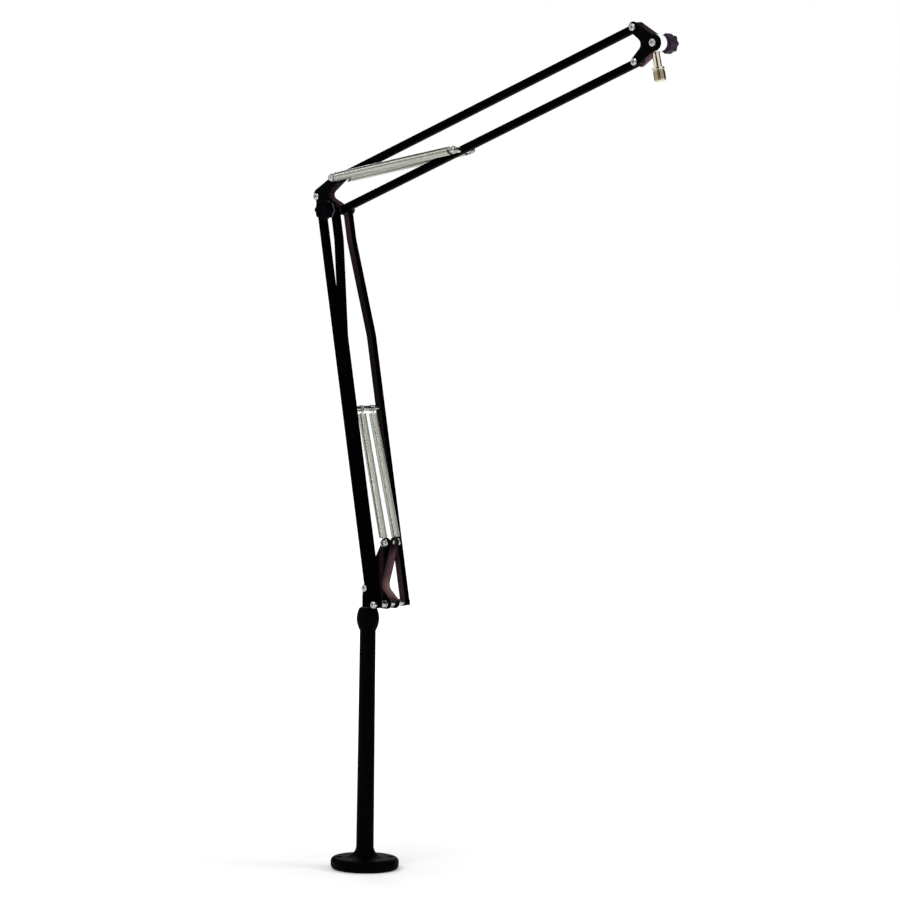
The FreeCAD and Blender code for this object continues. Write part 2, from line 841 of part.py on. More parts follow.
def spring_path(span):
    """Stations (place, heading) of a spring drawn along Z between its two pin centres."""
    hook = [hook_opening_deg + k * (hook_leave_deg - hook_opening_deg) / 4 for k in range(5)]
    stations = []
    for a in (radians(h) for h in hook):
        place = Vector(hook_radius * sin(a), 0, hook_lift + hook_radius * cos(a))
        stations.append((place, Vector(cos(a), 0, -sin(a))))
    first, heading = stations[0]
    stations.insert(0, (first - heading * wire_dia, heading))
    rise = radians(360 - hook_leave_deg)
    lead = cos(rise) + sin(rise) * sin(pi / 2 - rise) / (1 - cos(pi / 2 - rise))
    axis_z = hook_lift + hook_radius * lead
    stations.append((Vector(0, 0, axis_z), Vector(0, 0, 1)))
    stations.append((Vector(0, 0, axis_z + hook_neck), Vector(0, 0, 1)))
    coil_start = axis_z + hook_neck + lead_in
    coil_r = (coil_dia - wire_dia) / 2
    climb = (span - 2 * coil_start) / (2 * pi * spring_curls)
    slope = Vector(0, coil_r, climb).normalize()
    coil = []
    for k in range(2 * spring_curls + 1):
        a = pi * k
        place = Vector(coil_r * cos(a), coil_r * sin(a), coil_start + climb * a)
        coil.append((place, Vector(-sin(a) * slope.y, cos(a) * slope.y, slope.z)))
    far_end = []
    for place, heading in reversed(stations):
        far_end.append((Vector(place.x, -place.y, span - place.z), Vector(-heading.x, heading.y, heading.z)))
    return stations + coil + far_end


def least_gap(edges):
    """Least clear gap between stretches of wire that aren't neighbours along it."""
    spots = []
    run = 0.0
    for edge in edges:
        count = max(2, int(edge.Length / wire_dia) + 1)
        for k in range(count):
            done = edge.Length * k / count
            spots.append((run + done, edge.valueAt(edge.getParameterByLength(done))))
        run += edge.Length
    least = spots[-1][0]
    apart = 4 * wire_dia
    for i, (run_a, a) in enumerate(spots):
        for run_b, b in spots[i + 1:]:
            if run_b - run_a > apart:
                least = min(least, a.distanceToPoint(b))
    return least - wire_dia


def wire_section(stations):
    place, heading = stations[0]
    side = Vector(0, 1, 0)
    third = heading.cross(side)
    corners = []
    for k in range(wire_sides):
        a = 2 * pi * (k + 0.5) / wire_sides
        corners.append(place + side * (cos(a) * wire_dia / 2) + third * (sin(a) * wire_dia / 2))
    return Part.makePolygon(corners + corners[:1])


def spring(start, finish, y_start, y_finish):
    """Wind one spring between two pins at rest, leaning with the line between them."""
    a = Vector(start[0], y_start, start[1])
    b = Vector(finish[0], y_finish, finish[1])
    axis = b - a
    stations = spring_path(axis.Length)
    edges = []
    for (p1, t1), (p2, t2) in zip(stations, stations[1:]):
        if (p2 - p1).Length > touching:
            edges += biarc(p1, t1, p2, t2)
    solid = Part.Wire(edges).makePipeShell([wire_section(stations)], True, False)
    turn = FreeCAD.Rotation(Vector(0, 0, 0), Vector(0, 1, 0), axis, "ZYX")
    solid.Placement = FreeCAD.Placement(a, turn)
    return solid, least_gap(edges)


def main():
    os.makedirs("parts", exist_ok=True)
    nodes = {
        "riser_column": riser_column(),
        "swivel_collar": swivel_collar(),
        "swivel_bush": swivel_bush(),
        "swivel_spindle": swivel_spindle(),
        "base_plate_near": base_plate(-1),
        "base_plate_far": base_plate(1),
        "base_axle": base_axle(),
        "base_axle_nuts": base_axle_nuts(),
        "base_axle_sleeves": base_axle_sleeves(),
        "base_axle_washers": base_axle_washers(),
        "base_plate_spacer": base_plate_spacer(),
        "rear_pivot_screw": pivot_screw(REAR, base_outer),
        "rear_pivot_nut": pivot_nut(REAR, base_outer),
        "rear_pivot_washers": pivot_washers(REAR, base_inner),
        "spring_studs": [spring_stud(-1), spring_stud(1)],
        "lower_tube_near": in_arm(bent_tube(-1), BASE, lower_turn),
        "lower_tube_far": in_arm(bent_tube(1), BASE, lower_turn),
        "lower_tube_plugs": lower_tube_plugs(),
        "lower_spring_pin": lower_spring_pin(),
        "lower_pin_sleeves": lower_pin_sleeves(),
        "rear_link_tube": rear_link_tube(),
        "rear_link_plugs": link_plugs(REAR, lower_length, lower_turn),
        "elbow_plate_near": elbow_plate(-1),
        "elbow_plate_far": elbow_plate(1),
        "elbow_axle": elbow_axle(),
        "elbow_axle_nut": elbow_axle_nut(),
        "elbow_washers": elbow_washers(),
        "elbow_link_screw": pivot_screw(ELBOW_REAR, elbow_outer),
        "elbow_link_nut": pivot_nut(ELBOW_REAR, elbow_outer),
        "spring_axle": spring_axle(),
        "spring_axle_sleeves": spring_axle_sleeves(),
        "elbow_knob": lobed_knob(ELBOW, elbow_knob_seat, -1, elbow_boss_height, axle_dia + 2 * run_gap),
        "boom_tube_lower": upper_lower_tube(),
        "boom_tube_lower_plugs": link_plugs(ELBOW, upper_length, upper_turn),
        "boom_spring_pin": upper_spring_pin(),
        "boom_pin_sleeves": upper_pin_sleeves(),
        "boom_tube_upper": upper_upper_tube(),
        "boom_tube_upper_plugs": link_plugs(ELBOW_TOP, upper_length, upper_turn),
        "head_plate_near": head_plate(-1),
        "head_plate_far": head_plate(1),
        "head_pivot_screws": [pivot_screw(at, head_outer) for at in (HEAD, HEAD_TOP)],
        "head_pivot_nuts": [pivot_nut(at, head_outer) for at in (HEAD, HEAD_TOP)],
        "head_pivot_washers": pivot_washers(HEAD, head_inner) + pivot_washers(HEAD_TOP, head_inner),
        "head_clamp_bolt": head_clamp_bolt(),
        "head_knob": lobed_knob(NOSE, head_knob_seat, 1, head_boss_height, head_bolt_dia + 2 * run_gap),
        "swivel_barrel": swivel_barrel(),
        "mic_stud": mic_stud(),
    }
    roller_bore = spring_pin_dia + 2 * run_gap
    nodes["lower_spring_rollers"] = [
        grooved_roller(LOWER_PIN, s * lower_spring_y_top, roller_bore) for s in (-1, 1)
    ]
    nodes["boom_spring_rollers"] = [
        grooved_roller(UPPER_PIN, s * upper_spring_y, roller_bore) for s in (-1, 1)
    ]
    for name, s in (("near", -1), ("far", 1)):
        lower, lower_gap = spring(TIP, LOWER_PIN, s * lower_spring_y_foot, s * lower_spring_y_top)
        upper, upper_gap = spring(ELBOW_TOP, UPPER_PIN, s * upper_spring_y, s * upper_spring_y)
        nodes["lower_spring_" + name] = lower
        nodes["boom_spring_" + name] = upper
        print(f"{name} springs: least gap {lower_gap:.2f} and {upper_gap:.2f} mm")
    for name, shape in nodes.items():
        if isinstance(shape, list):
            shape = Part.makeCompound(shape)
        shape.exportStep(f"parts/{name}.step")


main()
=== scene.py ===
# %% [markdown]
# # A balanced boom arm for a microphone
# The measured solids come in as a fixed frame. Each step below makes one group of pieces look as
# it does on the real arm: painted square tube, plated screws, close-wound springs, a turned stud.

# %% Load the frame
import json
import bpy
from math import atan2, cos, hypot, pi, radians, sin, tan
from mathutils import Matrix, Vector

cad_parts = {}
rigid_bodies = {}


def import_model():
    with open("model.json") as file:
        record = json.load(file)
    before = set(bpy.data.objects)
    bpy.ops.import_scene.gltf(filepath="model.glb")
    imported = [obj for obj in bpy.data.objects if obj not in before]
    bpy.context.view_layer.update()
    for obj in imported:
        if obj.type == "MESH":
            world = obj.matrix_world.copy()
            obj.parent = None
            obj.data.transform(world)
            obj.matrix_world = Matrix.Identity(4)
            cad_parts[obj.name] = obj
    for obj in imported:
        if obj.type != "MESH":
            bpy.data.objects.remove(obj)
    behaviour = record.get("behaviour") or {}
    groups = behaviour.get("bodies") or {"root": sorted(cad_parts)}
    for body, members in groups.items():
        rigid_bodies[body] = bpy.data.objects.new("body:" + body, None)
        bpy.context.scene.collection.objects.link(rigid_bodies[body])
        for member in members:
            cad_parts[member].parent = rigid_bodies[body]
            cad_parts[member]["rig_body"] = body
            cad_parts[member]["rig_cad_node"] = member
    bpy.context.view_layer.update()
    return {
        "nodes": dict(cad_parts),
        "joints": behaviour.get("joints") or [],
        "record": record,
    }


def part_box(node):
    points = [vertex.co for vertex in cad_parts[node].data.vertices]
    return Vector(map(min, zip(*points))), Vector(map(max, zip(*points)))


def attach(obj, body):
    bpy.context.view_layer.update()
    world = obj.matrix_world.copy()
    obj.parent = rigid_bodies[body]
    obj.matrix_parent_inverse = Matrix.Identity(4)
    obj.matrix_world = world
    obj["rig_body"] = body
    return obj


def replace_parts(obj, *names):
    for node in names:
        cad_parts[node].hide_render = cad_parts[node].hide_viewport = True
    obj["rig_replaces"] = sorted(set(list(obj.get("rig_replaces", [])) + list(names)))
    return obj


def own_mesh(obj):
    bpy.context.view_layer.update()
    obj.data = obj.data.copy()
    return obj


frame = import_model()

MM = 0.001
nodes = frame["nodes"]
slot_of = {row["node"]: row["material_slot"] for row in frame["record"]["subparts"]}
body_of = {n: body for body, names in frame["record"]["behaviour"]["bodies"].items() for n in names}

# %% [markdown]
# The pivots are the arm's skeleton. The record gives each hinge its place, so every new piece can
# be laid on the line between two pivots, and stays right if the arm is ever re-proportioned.

# %% Pivot places
pivot = {j["name"]: Vector(j["pos_m"]) for j in frame["joints"]}
BASE, ELBOW, HEAD = pivot["lower_tilt"], pivot["boom_tilt"], pivot["head_level"]
REAR, ELBOW_TOP, NOSE = pivot["rear_link_turn"], pivot["boom_link_turn"], pivot["mic_tilt"]
TIP, LOWER_PIN = pivot["lower_spring_swing"], pivot["lower_roller_turn"]
BOOM_PIN = pivot["boom_roller_turn"]
ELBOW_REAR = ELBOW + REAR - BASE
HEAD_TOP = HEAD + ELBOW_TOP - ELBOW
LOWER_LENGTH = (ELBOW - BASE).length
BOOM_LENGTH = (HEAD - ELBOW).length
print(f"lower arm {LOWER_LENGTH * 1000:.1f} mm, boom {BOOM_LENGTH * 1000:.1f} mm between pivots")

# %% [markdown]
# Operators act on whatever is selected, and the import leaves every solid selected. These small
# helpers start each step from a clean selection, pick parts of a mesh by place, and hand a
# finished piece to the body that carries it.


# %% Helpers for selecting, placing and handing over
def clear_selection():
    if bpy.context.object and bpy.context.object.mode != "OBJECT":
        bpy.ops.object.mode_set(mode="OBJECT")
    bpy.ops.object.select_all(action="DESELECT")


def take(obj):
    clear_selection()
    obj.select_set(True)
    bpy.context.view_layer.objects.active = obj
    return obj


def begin_edit(obj, mode="FACE"):
    take(obj)
    bpy.ops.object.mode_set(mode="EDIT")
    bpy.ops.mesh.select_mode(type=mode)
    bpy.ops.mesh.select_all(action="DESELECT")


def end_edit():
    bpy.ops.object.mode_set(mode="OBJECT")


def pick(obj, test, kind="faces"):
    """In edit mode, select the faces (or edges, or vertices) whose centre passes a test."""
    bpy.ops.object.mode_set(mode="OBJECT")
    mesh = obj.data
    for group in (mesh.vertices, mesh.edges, mesh.polygons):
        for item in group:
            item.select = False
    if kind == "faces":
        for f in mesh.polygons:
            f.select = test(f.center, f.normal)
    elif kind == "edges":
        for e in mesh.edges:
            a, b = (mesh.vertices[i].co for i in e.vertices)
            e.select = test((a + b) / 2, (b - a).normalized())
    else:
        for v in mesh.vertices:
            v.select = test(v.co, v.normal)
    bpy.ops.object.mode_set(mode="EDIT")


def apply_modifiers(obj):
    take(obj)
    for m in list(obj.modifiers):
        bpy.ops.object.modifier_apply(modifier=m.name)


def settle(obj, matrix=None):
    """Put a piece in its place for good: the place goes into the mesh, the object stays at the origin."""
    take(obj)
    if matrix is not None:
        obj.matrix_world = matrix
    bpy.ops.object.transform_apply(location=True, rotation=True, scale=True)


def lean_matrix(at, turn):
    """Place a piece drawn along Z so that it starts at a pivot and leans by a turn about Y."""
    return Matrix.Translation(at) @ Matrix.Rotation(turn, 4, "Y")


def lean_of(a, b):
    return atan2(b.x - a.x, b.z - a.z)


made = []
FACING = 0.9  # share of a normal that makes a face count as looking one way
CAST_SMOOTH, FITTING_SMOOTH, BAR_SMOOTH, WIRE_SMOOTH = 30, 35, 40, 60  # degrees shaded as a curve


def hand_over(obj, name, stands_for, material=None, smooth=BAR_SMOOTH):
    """Name a piece, let it ride on the body of the nodes it stands for, and give it their finish."""
    take(obj)
    bpy.ops.object.shade_smooth_by_angle(angle=radians(smooth))
    obj.name = name
    obj.data.name = name
    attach(obj, body_of[stands_for[0]])
    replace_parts(obj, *stands_for)
    obj.data.materials.clear()
    obj.data.materials.append(material or finish[slot_of[stands_for[0]]])
    made.append(obj)
    return obj


def second_coat(obj, material, test):
    """Give the faces that pass a test a finish of their own."""
    obj.data.materials.append(material)
    begin_edit(obj)
    pick(obj, test)
    obj.active_material_index = 1
    bpy.ops.object.material_slot_assign()
    end_edit()


def looks_near(centre, normal):
    """True of a face that looks towards the near side of the arm."""
    return normal.y < -FACING


# %% [markdown]
# Finishes come first, so each piece can be dressed as soon as it is made. Every one is a small
# node tree on the piece's own Object coordinates, which are metres here: a noise of scale 400
# has grains of about 2.5 mm. Colour that never changes sits on the shader's own socket.


# %% Helpers for node trees
def new_finish(name):
    mat = bpy.data.materials.new(name)
    mat.use_nodes = True
    tree = mat.node_tree
    shader = tree.nodes["Principled BSDF"]
    coords = tree.nodes.new("ShaderNodeTexCoord")
    return mat, tree, shader, coords


def add_noise(tree, coords, scale, detail=3.0, stretch=None):
    noise = tree.nodes.new("ShaderNodeTexNoise")
    noise.inputs["Scale"].default_value = scale
    noise.inputs["Detail"].default_value = detail
    source = coords.outputs["Object"]
    if stretch:
        mapping = tree.nodes.new("ShaderNodeMapping")
        mapping.inputs["Scale"].default_value = stretch
        tree.links.new(source, mapping.inputs["Vector"])
        source = mapping.outputs["Vector"]
    tree.links.new(source, noise.inputs["Vector"])
    return noise.outputs["Fac"]


def add_ramp(tree, value, stops):
    ramp = tree.nodes.new("ShaderNodeValToRGB")
    points = ramp.color_ramp.elements
    for k, (place, colour) in enumerate(stops):
        point = points[k] if k < 2 else points.new(place)
        point.position = place
        point.color = (*colour, 1.0)
    tree.links.new(value, ramp.inputs["Fac"])
    return ramp.outputs["Color"]


def add_range(tree, value, low, high, start=0.3, stop=0.7):
    """Stretch a value so that start becomes low and stop becomes high."""
    span = tree.nodes.new("ShaderNodeMapRange")
    for name, number in (("From Min", start), ("From Max", stop), ("To Min", low), ("To Max", high)):
        span.inputs[name].default_value = number
    tree.links.new(value, span.inputs["Value"])
    return span.outputs["Result"]


def add_math(tree, operation, *values):
    """Reckon with up to three values, each a socket to link or a plain number."""
    sum_node = tree.nodes.new("ShaderNodeMath")
    sum_node.operation = operation
    for socket, value in zip(sum_node.inputs, values):
        if isinstance(value, float):
            socket.default_value = value
        else:
            tree.links.new(value, socket)
    return sum_node.outputs["Value"]


def add_bump(tree, shader, value, strength, distance):
    bump = tree.nodes.new("ShaderNodeBump")
    bump.inputs["Strength"].default_value = strength
    bump.inputs["Distance"].default_value = distance
    tree.links.new(value, bump.inputs["Height"])
    tree.links.new(bump.outputs["Normal"], shader.inputs["Normal"])


# %% [markdown]
# The arm's tubes and plates carry one coat of deep satin black. Paint like this is never an even
# black: it has a faint purple-brown cast, soft clouds in its depth, and the fine ripple that
# sprayers call orange peel, which breaks up the little that it reflects. The tubes are duller than
# the plates. On the faces that look inwards, a brown-purple colour is painted light: it stands in
# for the light that falls on them.


# %% Black paint
SATIN, DULL, DEAD = 0.012, 0.002, 0.001  # how much each kind of coat reflects
CLOUDS, PATCHES, PEEL = 45.0, 160.0, 700.0  # scales of the noises in the coat
PEEL_LIFT, PEEL_HIGH = 0.12, 0.2 * MM


def paint(name, deep, cast, gloss, sheen=SATIN):
    mat, tree, shader, coords = new_finish(name)
    clouds = add_noise(tree, coords, CLOUDS)
    tree.links.new(add_ramp(tree, clouds, [(0.35, deep), (0.7, cast)]), shader.inputs["Base Color"])
    patches = add_noise(tree, coords, PATCHES)
    tree.links.new(add_range(tree, patches, gloss - 0.05, gloss + 0.07), shader.inputs["Roughness"])
    add_bump(tree, shader, add_noise(tree, coords, PEEL, 2.0), PEEL_LIFT, PEEL_HIGH)
    shader.inputs["Specular IOR Level"].default_value = sheen
    return mat


finish = {}
BLACK, BLACK_CAST = (0.0003, 0.0002, 0.0003), (0.0009, 0.0006, 0.0008)
finish["black_paint"] = paint("black_paint", BLACK, BLACK_CAST, 0.4)
tube_paint = paint("black_paint_tube", BLACK, BLACK_CAST, 0.4, DULL)
cast_paint = paint("black_paint_cast", (0.0002, 0.0002, 0.0002), (0.0007, 0.0005, 0.0006), 0.5)
# painted light: this brown-purple stands in for the light falling on the inward faces
inward_painted_light = paint("inward_faces_painted_light", (0.040, 0.022, 0.028), (0.065, 0.036, 0.044), 0.5)
print("black paint:", len(bpy.data.materials), "finishes so far")

# %% [markdown]
# The wide far plates get painted light on their inward faces: brightest low down and darker again
# towards the top. On the far bar the painted light is brightest near the two ends. A ramp along
# one coordinate, roughened by clouds, gives that. The near base plate has only a faint painted
# reflection, a brown streak beside its edge, so its ramp runs along X.


# %% Painted light that fades along a plate
RAGGED, RAGS = 0.12, 90.0  # how far clouds shift the fade, and their scale


def painted_light_ramp(name, low, high, stops, along="Z"):
    mat, tree, shader, coords = new_finish(name)
    split = tree.nodes.new("ShaderNodeSeparateXYZ")
    tree.links.new(coords.outputs["Object"], split.inputs["Vector"])
    place = add_range(tree, split.outputs[along], 0.0, 1.0, low, high)
    ragged = add_math(tree, "MULTIPLY_ADD", add_noise(tree, coords, RAGS), RAGGED, place)
    tree.links.new(add_ramp(tree, ragged, stops), shader.inputs["Base Color"])
    shader.inputs["Roughness"].default_value = 0.5
    shader.inputs["Specular IOR Level"].default_value = DEAD
    return mat


# painted light for the inward faces of the far base plate, the far head plate and the far bar
base_plate_painted_light = painted_light_ramp("base_plate_painted_light", BASE.z, TIP.z, [
    (0.09, (0.003, 0.0018, 0.002)), (0.17, (0.16, 0.088, 0.096)), (0.32, (0.29, 0.16, 0.165)),
    (0.5, (0.14, 0.077, 0.085)), (0.85, (0.10, 0.053, 0.064)), (1.0, (0.015, 0.009, 0.011))])
head_plate_painted_light = painted_light_ramp("head_plate_painted_light", HEAD.z, HEAD_TOP.z, [
    (0.05, (0.20, 0.11, 0.13)), (0.40, (0.22, 0.12, 0.14)), (0.75, (0.035, 0.019, 0.023))])
BAR_FADE_OVER = 40.0 * MM
far_bar_painted_light = painted_light_ramp("far_bar_painted_light", BASE.z, ELBOW.z + BAR_FADE_OVER, [
    (0.24, (0.034, 0.0187, 0.023)), (0.52, (0.008, 0.005, 0.0053)), (0.82, (0.008, 0.005, 0.0053)),
    (0.95, (0.029, 0.0165, 0.0195))])
# painted reflection: a faint brown sheen streak beside the near base plate's edge
PAINTED_SHEEN_AT, PAINTED_SHEEN_HALF = 31.0 * MM, 7.0 * MM
painted_reflection_near = painted_light_ramp("near_plate_painted_reflection", PAINTED_SHEEN_AT - PAINTED_SHEEN_HALF, PAINTED_SHEEN_AT + PAINTED_SHEEN_HALF, [
    (0.1, BLACK_CAST), (0.56, (0.015, 0.0083, 0.0105)), (1.0, BLACK_CAST)], "X")
# the print tells where the base plate's painted light runs
print("painted light shows from", round(BASE.z, 3), "to", round(TIP.z, 3), "m on the base plate")

# %% [markdown]
# Screws, pins and spacers are zinc plated: a bright metal with a slight warm and cool mottle.
# Fine turning lines are a noise squeezed along one axis. Spring wire is the same family, brighter
# and smoother because it was drawn through a die. The boom's springs get a darker copy of the
# wire, painted shade for the darker reflections along the boom. The stud's thread gets a darker
# copy of the brass, painted shade for the shade between its fine ridges.


# %% Plated steel and spring wire
FINER = 2.3  # how much finer the smears are than the mottle
MOTTLE_LIFT, MOTTLE_HIGH = 0.05, 0.1 * MM


def metal(name, dark, light, rough, scale, stretch=None):
    mat, tree, shader, coords = new_finish(name)
    mottle = add_noise(tree, coords, scale, 4.0, stretch)
    tree.links.new(add_ramp(tree, mottle, [(0.3, dark), (0.72, light)]), shader.inputs["Base Color"])
    smears = add_noise(tree, coords, FINER * scale)
    tree.links.new(add_range(tree, smears, rough - 0.05, rough + 0.09), shader.inputs["Roughness"])
    add_bump(tree, shader, mottle, MOTTLE_LIFT, MOTTLE_HIGH)
    shader.inputs["Metallic"].default_value = 1.0
    return mat


finish["zinc_steel"] = metal("zinc_steel", (0.26, 0.26, 0.25), (0.56, 0.56, 0.535), 0.2, 420.0)
finish["spring_wire"] = metal("spring_wire", (0.50, 0.52, 0.46), (0.66, 0.68, 0.61), 0.2, 600.0)
# painted shade: a darker copy of the spring wire for the boom's springs
boom_shaded_wire = metal("spring_wire_boom", (0.36, 0.375, 0.33), (0.475, 0.49, 0.44), 0.2, 600.0)
finish["brass"] = metal("brass", (0.68, 0.62, 0.48), (0.80, 0.74, 0.60), 0.09, 60.0, (1.0, 1.0, 4.0))
# painted shade: a darker copy of the brass, for the shade between the thread's ridges
thread_shaded_brass = metal("brass_shaded_thread", (0.40, 0.35, 0.24), (0.50, 0.44, 0.31), 0.16, 200.0)
print("paints and metals:", len(bpy.data.materials), "finishes so far")

# %% [markdown]
# The plastics: black nylon washers and plugs with a soft sheen, knobs with a purple-black moulded
# texture, and the white nylon barrel, where a little light sinks in before it comes back.


# %% Nylon and knob plastic
TINTS, SHINES, GRAIN_HIGH = 120.0, 300.0, 0.3 * MM  # scales of two noises, and the grain's height


def plastic(name, deep, pale, rough, grain, lift, sheen=0.5):
    mat, tree, shader, coords = new_finish(name)
    tints, shines = add_noise(tree, coords, TINTS), add_noise(tree, coords, SHINES)
    tree.links.new(add_ramp(tree, tints, [(0.3, deep), (0.7, pale)]), shader.inputs["Base Color"])
    tree.links.new(add_range(tree, shines, rough - 0.06, rough + 0.06), shader.inputs["Roughness"])
    add_bump(tree, shader, add_noise(tree, coords, grain, 4.0), lift, GRAIN_HIGH)
    shader.inputs["Specular IOR Level"].default_value = sheen
    return mat


finish["black_nylon"] = plastic("black_nylon", (0.004, 0.003, 0.004), (0.01, 0.008, 0.01), 0.5, 900.0, 0.15)
finish["knob_plastic"] = plastic("knob_plastic", (0.016, 0.008, 0.016), (0.030, 0.016, 0.030),
                                 0.55, 1100.0, 0.35, 0.15)
# painted highlight: the pale purple of light caught on the black knob's rim
rim_painted_highlight = plastic("rim_painted_highlight", (0.11, 0.08, 0.15), (0.17, 0.125, 0.22), 0.5, 1000.0, 0.25, 0.1)
finish["white_nylon"] = plastic("white_nylon", (0.93, 0.93, 0.94), (0.97, 0.97, 0.97), 0.42, 500.0, 0.05)
elbow_plastic = plastic("elbow_plastic", (0.0003, 0.0002, 0.0004), (0.0009, 0.0006, 0.001),
                        0.5, 1000.0, 0.25, 0.01)
nylon_shader = finish["white_nylon"].node_tree.nodes["Principled BSDF"]
nylon_shader.inputs["Subsurface Weight"].default_value = 0.1
print("finishes:", ", ".join(sorted(m.name for m in bpy.data.materials)))

# %% [markdown]
# The riser is a casting turned all round: flange, flare, tapering column. By hand this is a
# circle pulled up ring by ring, each ring extruded and then scaled to the profile's next radius.


# %% Turning helper
def arc_rings(centre, radius, start, finish_at, steps):
    """Profile points (radius, height) along an arc, angles in degrees from the outward direction."""
    points = []
    for k in range(steps + 1):
        a = radians(start + (finish_at - start) * k / steps)
        points.append((centre[0] + radius * cos(a), centre[1] + radius * sin(a)))
    return points


def turn_up(name, rings, around):
    """Extrude a circle through profile rings (radius, height), and close it at both ends."""
    clear_selection()
    first_r, first_z = rings[0]
    bpy.ops.mesh.primitive_circle_add(vertices=around, radius=first_r, location=(0, 0, first_z),
                                      fill_type="NGON")
    obj = bpy.context.object
    obj.name = name
    settle(obj)
    begin_edit(obj)
    bpy.ops.mesh.select_all(action="SELECT")
    bpy.ops.mesh.flip_normals()
    last_r, last_z = first_r, first_z
    for r, z in rings[1:]:
        bpy.ops.mesh.extrude_region_move(TRANSFORM_OT_translate={"value": (0, 0, z - last_z)})
        bpy.ops.transform.resize(value=(r / last_r, r / last_r, 1), center_override=(0, 0, z))
        last_r, last_z = r, z
    bpy.ops.mesh.select_all(action="SELECT")
    bpy.ops.mesh.normals_make_consistent(inside=False)
    end_edit()
    return obj


# %% Riser column with its flange
column_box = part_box("riser_column")
collar_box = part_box("swivel_collar")
flange_r = column_box[1].x
FLANGE_THICK, RIM, FLARE = 16.5 * MM, 6.0 * MM, 15.5 * MM
COLUMN_FOOT, COLUMN_TOP = 12.1 * MM, 10.5 * MM
TOP_STEP, TOP_DROP = 0.4 * MM, 0.6 * MM
RISER_SIDES, RIM_STEPS, FLARE_STEPS = 128, 8, 12
column_top = collar_box[0].z
rings = arc_rings((flange_r - RIM, RIM), RIM, -90, 0, RIM_STEPS)
rings += arc_rings((flange_r - RIM, FLANGE_THICK - RIM), RIM, 0, 90, RIM_STEPS)
rings += arc_rings((COLUMN_FOOT + FLARE, FLANGE_THICK + FLARE), FLARE, 270, 180, FLARE_STEPS)
rings += [(COLUMN_TOP + TOP_STEP, column_top - TOP_DROP), (COLUMN_TOP, column_top)]
riser = turn_up("riser", rings, RISER_SIDES)
print("riser turned through", len(rings), "rings")

# %% [markdown]
# Four countersunk screw holes go through the flange. A drill for each is a cylinder whose top is
# opened to a cone, and a Boolean takes it away from the casting.

# %% Flange holes
HOLE_R, SINK_R, HOLE_RING = 2.75 * MM, 5.0 * MM, 35.0 * MM
HOLES, DRILL_SIDES = 4, 40
sink = SINK_R - HOLE_R
spread = 2 * SINK_R / HOLE_R - 1
for k in range(HOLES):
    turn = 2 * pi * (k + 0.5) / HOLES
    hole_x, hole_y = HOLE_RING * cos(turn), HOLE_RING * sin(turn)
    clear_selection()
    bpy.ops.mesh.primitive_cylinder_add(vertices=DRILL_SIDES, radius=HOLE_R, depth=2 * FLANGE_THICK,
                                        location=(hole_x, hole_y, 0))
    drill = bpy.context.object
    settle(drill)
    begin_edit(drill)
    pick(drill, lambda c, n: n.z > FACING)
    bpy.ops.transform.translate(value=(0, 0, -sink))
    bpy.ops.mesh.extrude_region_move(TRANSFORM_OT_translate={"value": (0, 0, 2 * sink)})
    bpy.ops.transform.resize(value=(spread, spread, 1), center_override=(hole_x, hole_y, FLANGE_THICK))
    end_edit()
    cut = riser.modifiers.new("hole", "BOOLEAN")
    cut.operation = "DIFFERENCE"
    cut.object = drill
    apply_modifiers(riser)
    bpy.data.objects.remove(drill)
hand_over(riser, "riser_casting", ["riser_column"], cast_paint, CAST_SMOOTH)
print("riser casting:", len(riser.data.polygons), "faces, flange", round(2000 * flange_r, 1), "mm")

# %% [markdown]
# The collar on top is a barrel: its sides swell from the column's width to the belly and close
# again at the mouth. One curve through three known radii gives the profile.

# %% Swivel collar
FOOT_R, BELLY_R, MOUTH_R = 11.0 * MM, 15.5 * MM, 12.0 * MM
FOOT_STEP, MOUTH_STEP, LIP, MOUTH_WALL, MOUTH_DEEP = (v * MM for v in (0.2, 0.4, 0.5, 2.6, 2.0))
BARREL_RINGS, COLLAR_SIDES = 20, 96
foot_z, mouth_z = collar_box[0].z, collar_box[1].z
rings = [(FOOT_R - LIP, foot_z)]
for k in range(BARREL_RINGS + 1):
    t = k / BARREL_RINGS
    rings.append((FOOT_R * (1 - t) * (1 - 2 * t) + 4 * BELLY_R * t * (1 - t) + MOUTH_R * t * (2 * t - 1),
                  foot_z + FOOT_STEP + t * (mouth_z - foot_z - FOOT_STEP - MOUTH_STEP)))
rings += [(MOUTH_R - LIP, mouth_z)]
collar = turn_up("collar", rings, COLLAR_SIDES)
begin_edit(collar)
pick(collar, lambda c, n: n.z > FACING)
bpy.ops.mesh.inset(thickness=MOUTH_WALL)
bpy.ops.mesh.extrude_region_move(TRANSFORM_OT_translate={"value": (0, 0, -MOUTH_DEEP)})
end_edit()
hand_over(collar, "collar_barrel", ["swivel_collar"], cast_paint, CAST_SMOOTH)
print("collar:", round(2000 * BELLY_R, 1), "mm at its belly")

# %% [markdown]
# Square tube of this kind has crisp corners, only just broken. Each bar starts as a cube stretched
# to length; its two ends are opened, its four long edges bevelled, and Solidify gives it the wall.
# The plugs in its ends are dressed later, with the other fittings.

# %% Straight tubes
TUBE, WALL, CORNER, CORNER_CUTS = 9.525 * MM, 1.2 * MM, 0.35 * MM, 4


def wall_up(obj):
    solid = obj.modifiers.new("wall", "SOLIDIFY")
    solid.thickness = WALL
    solid.offset = -1.0
    apply_modifiers(obj)


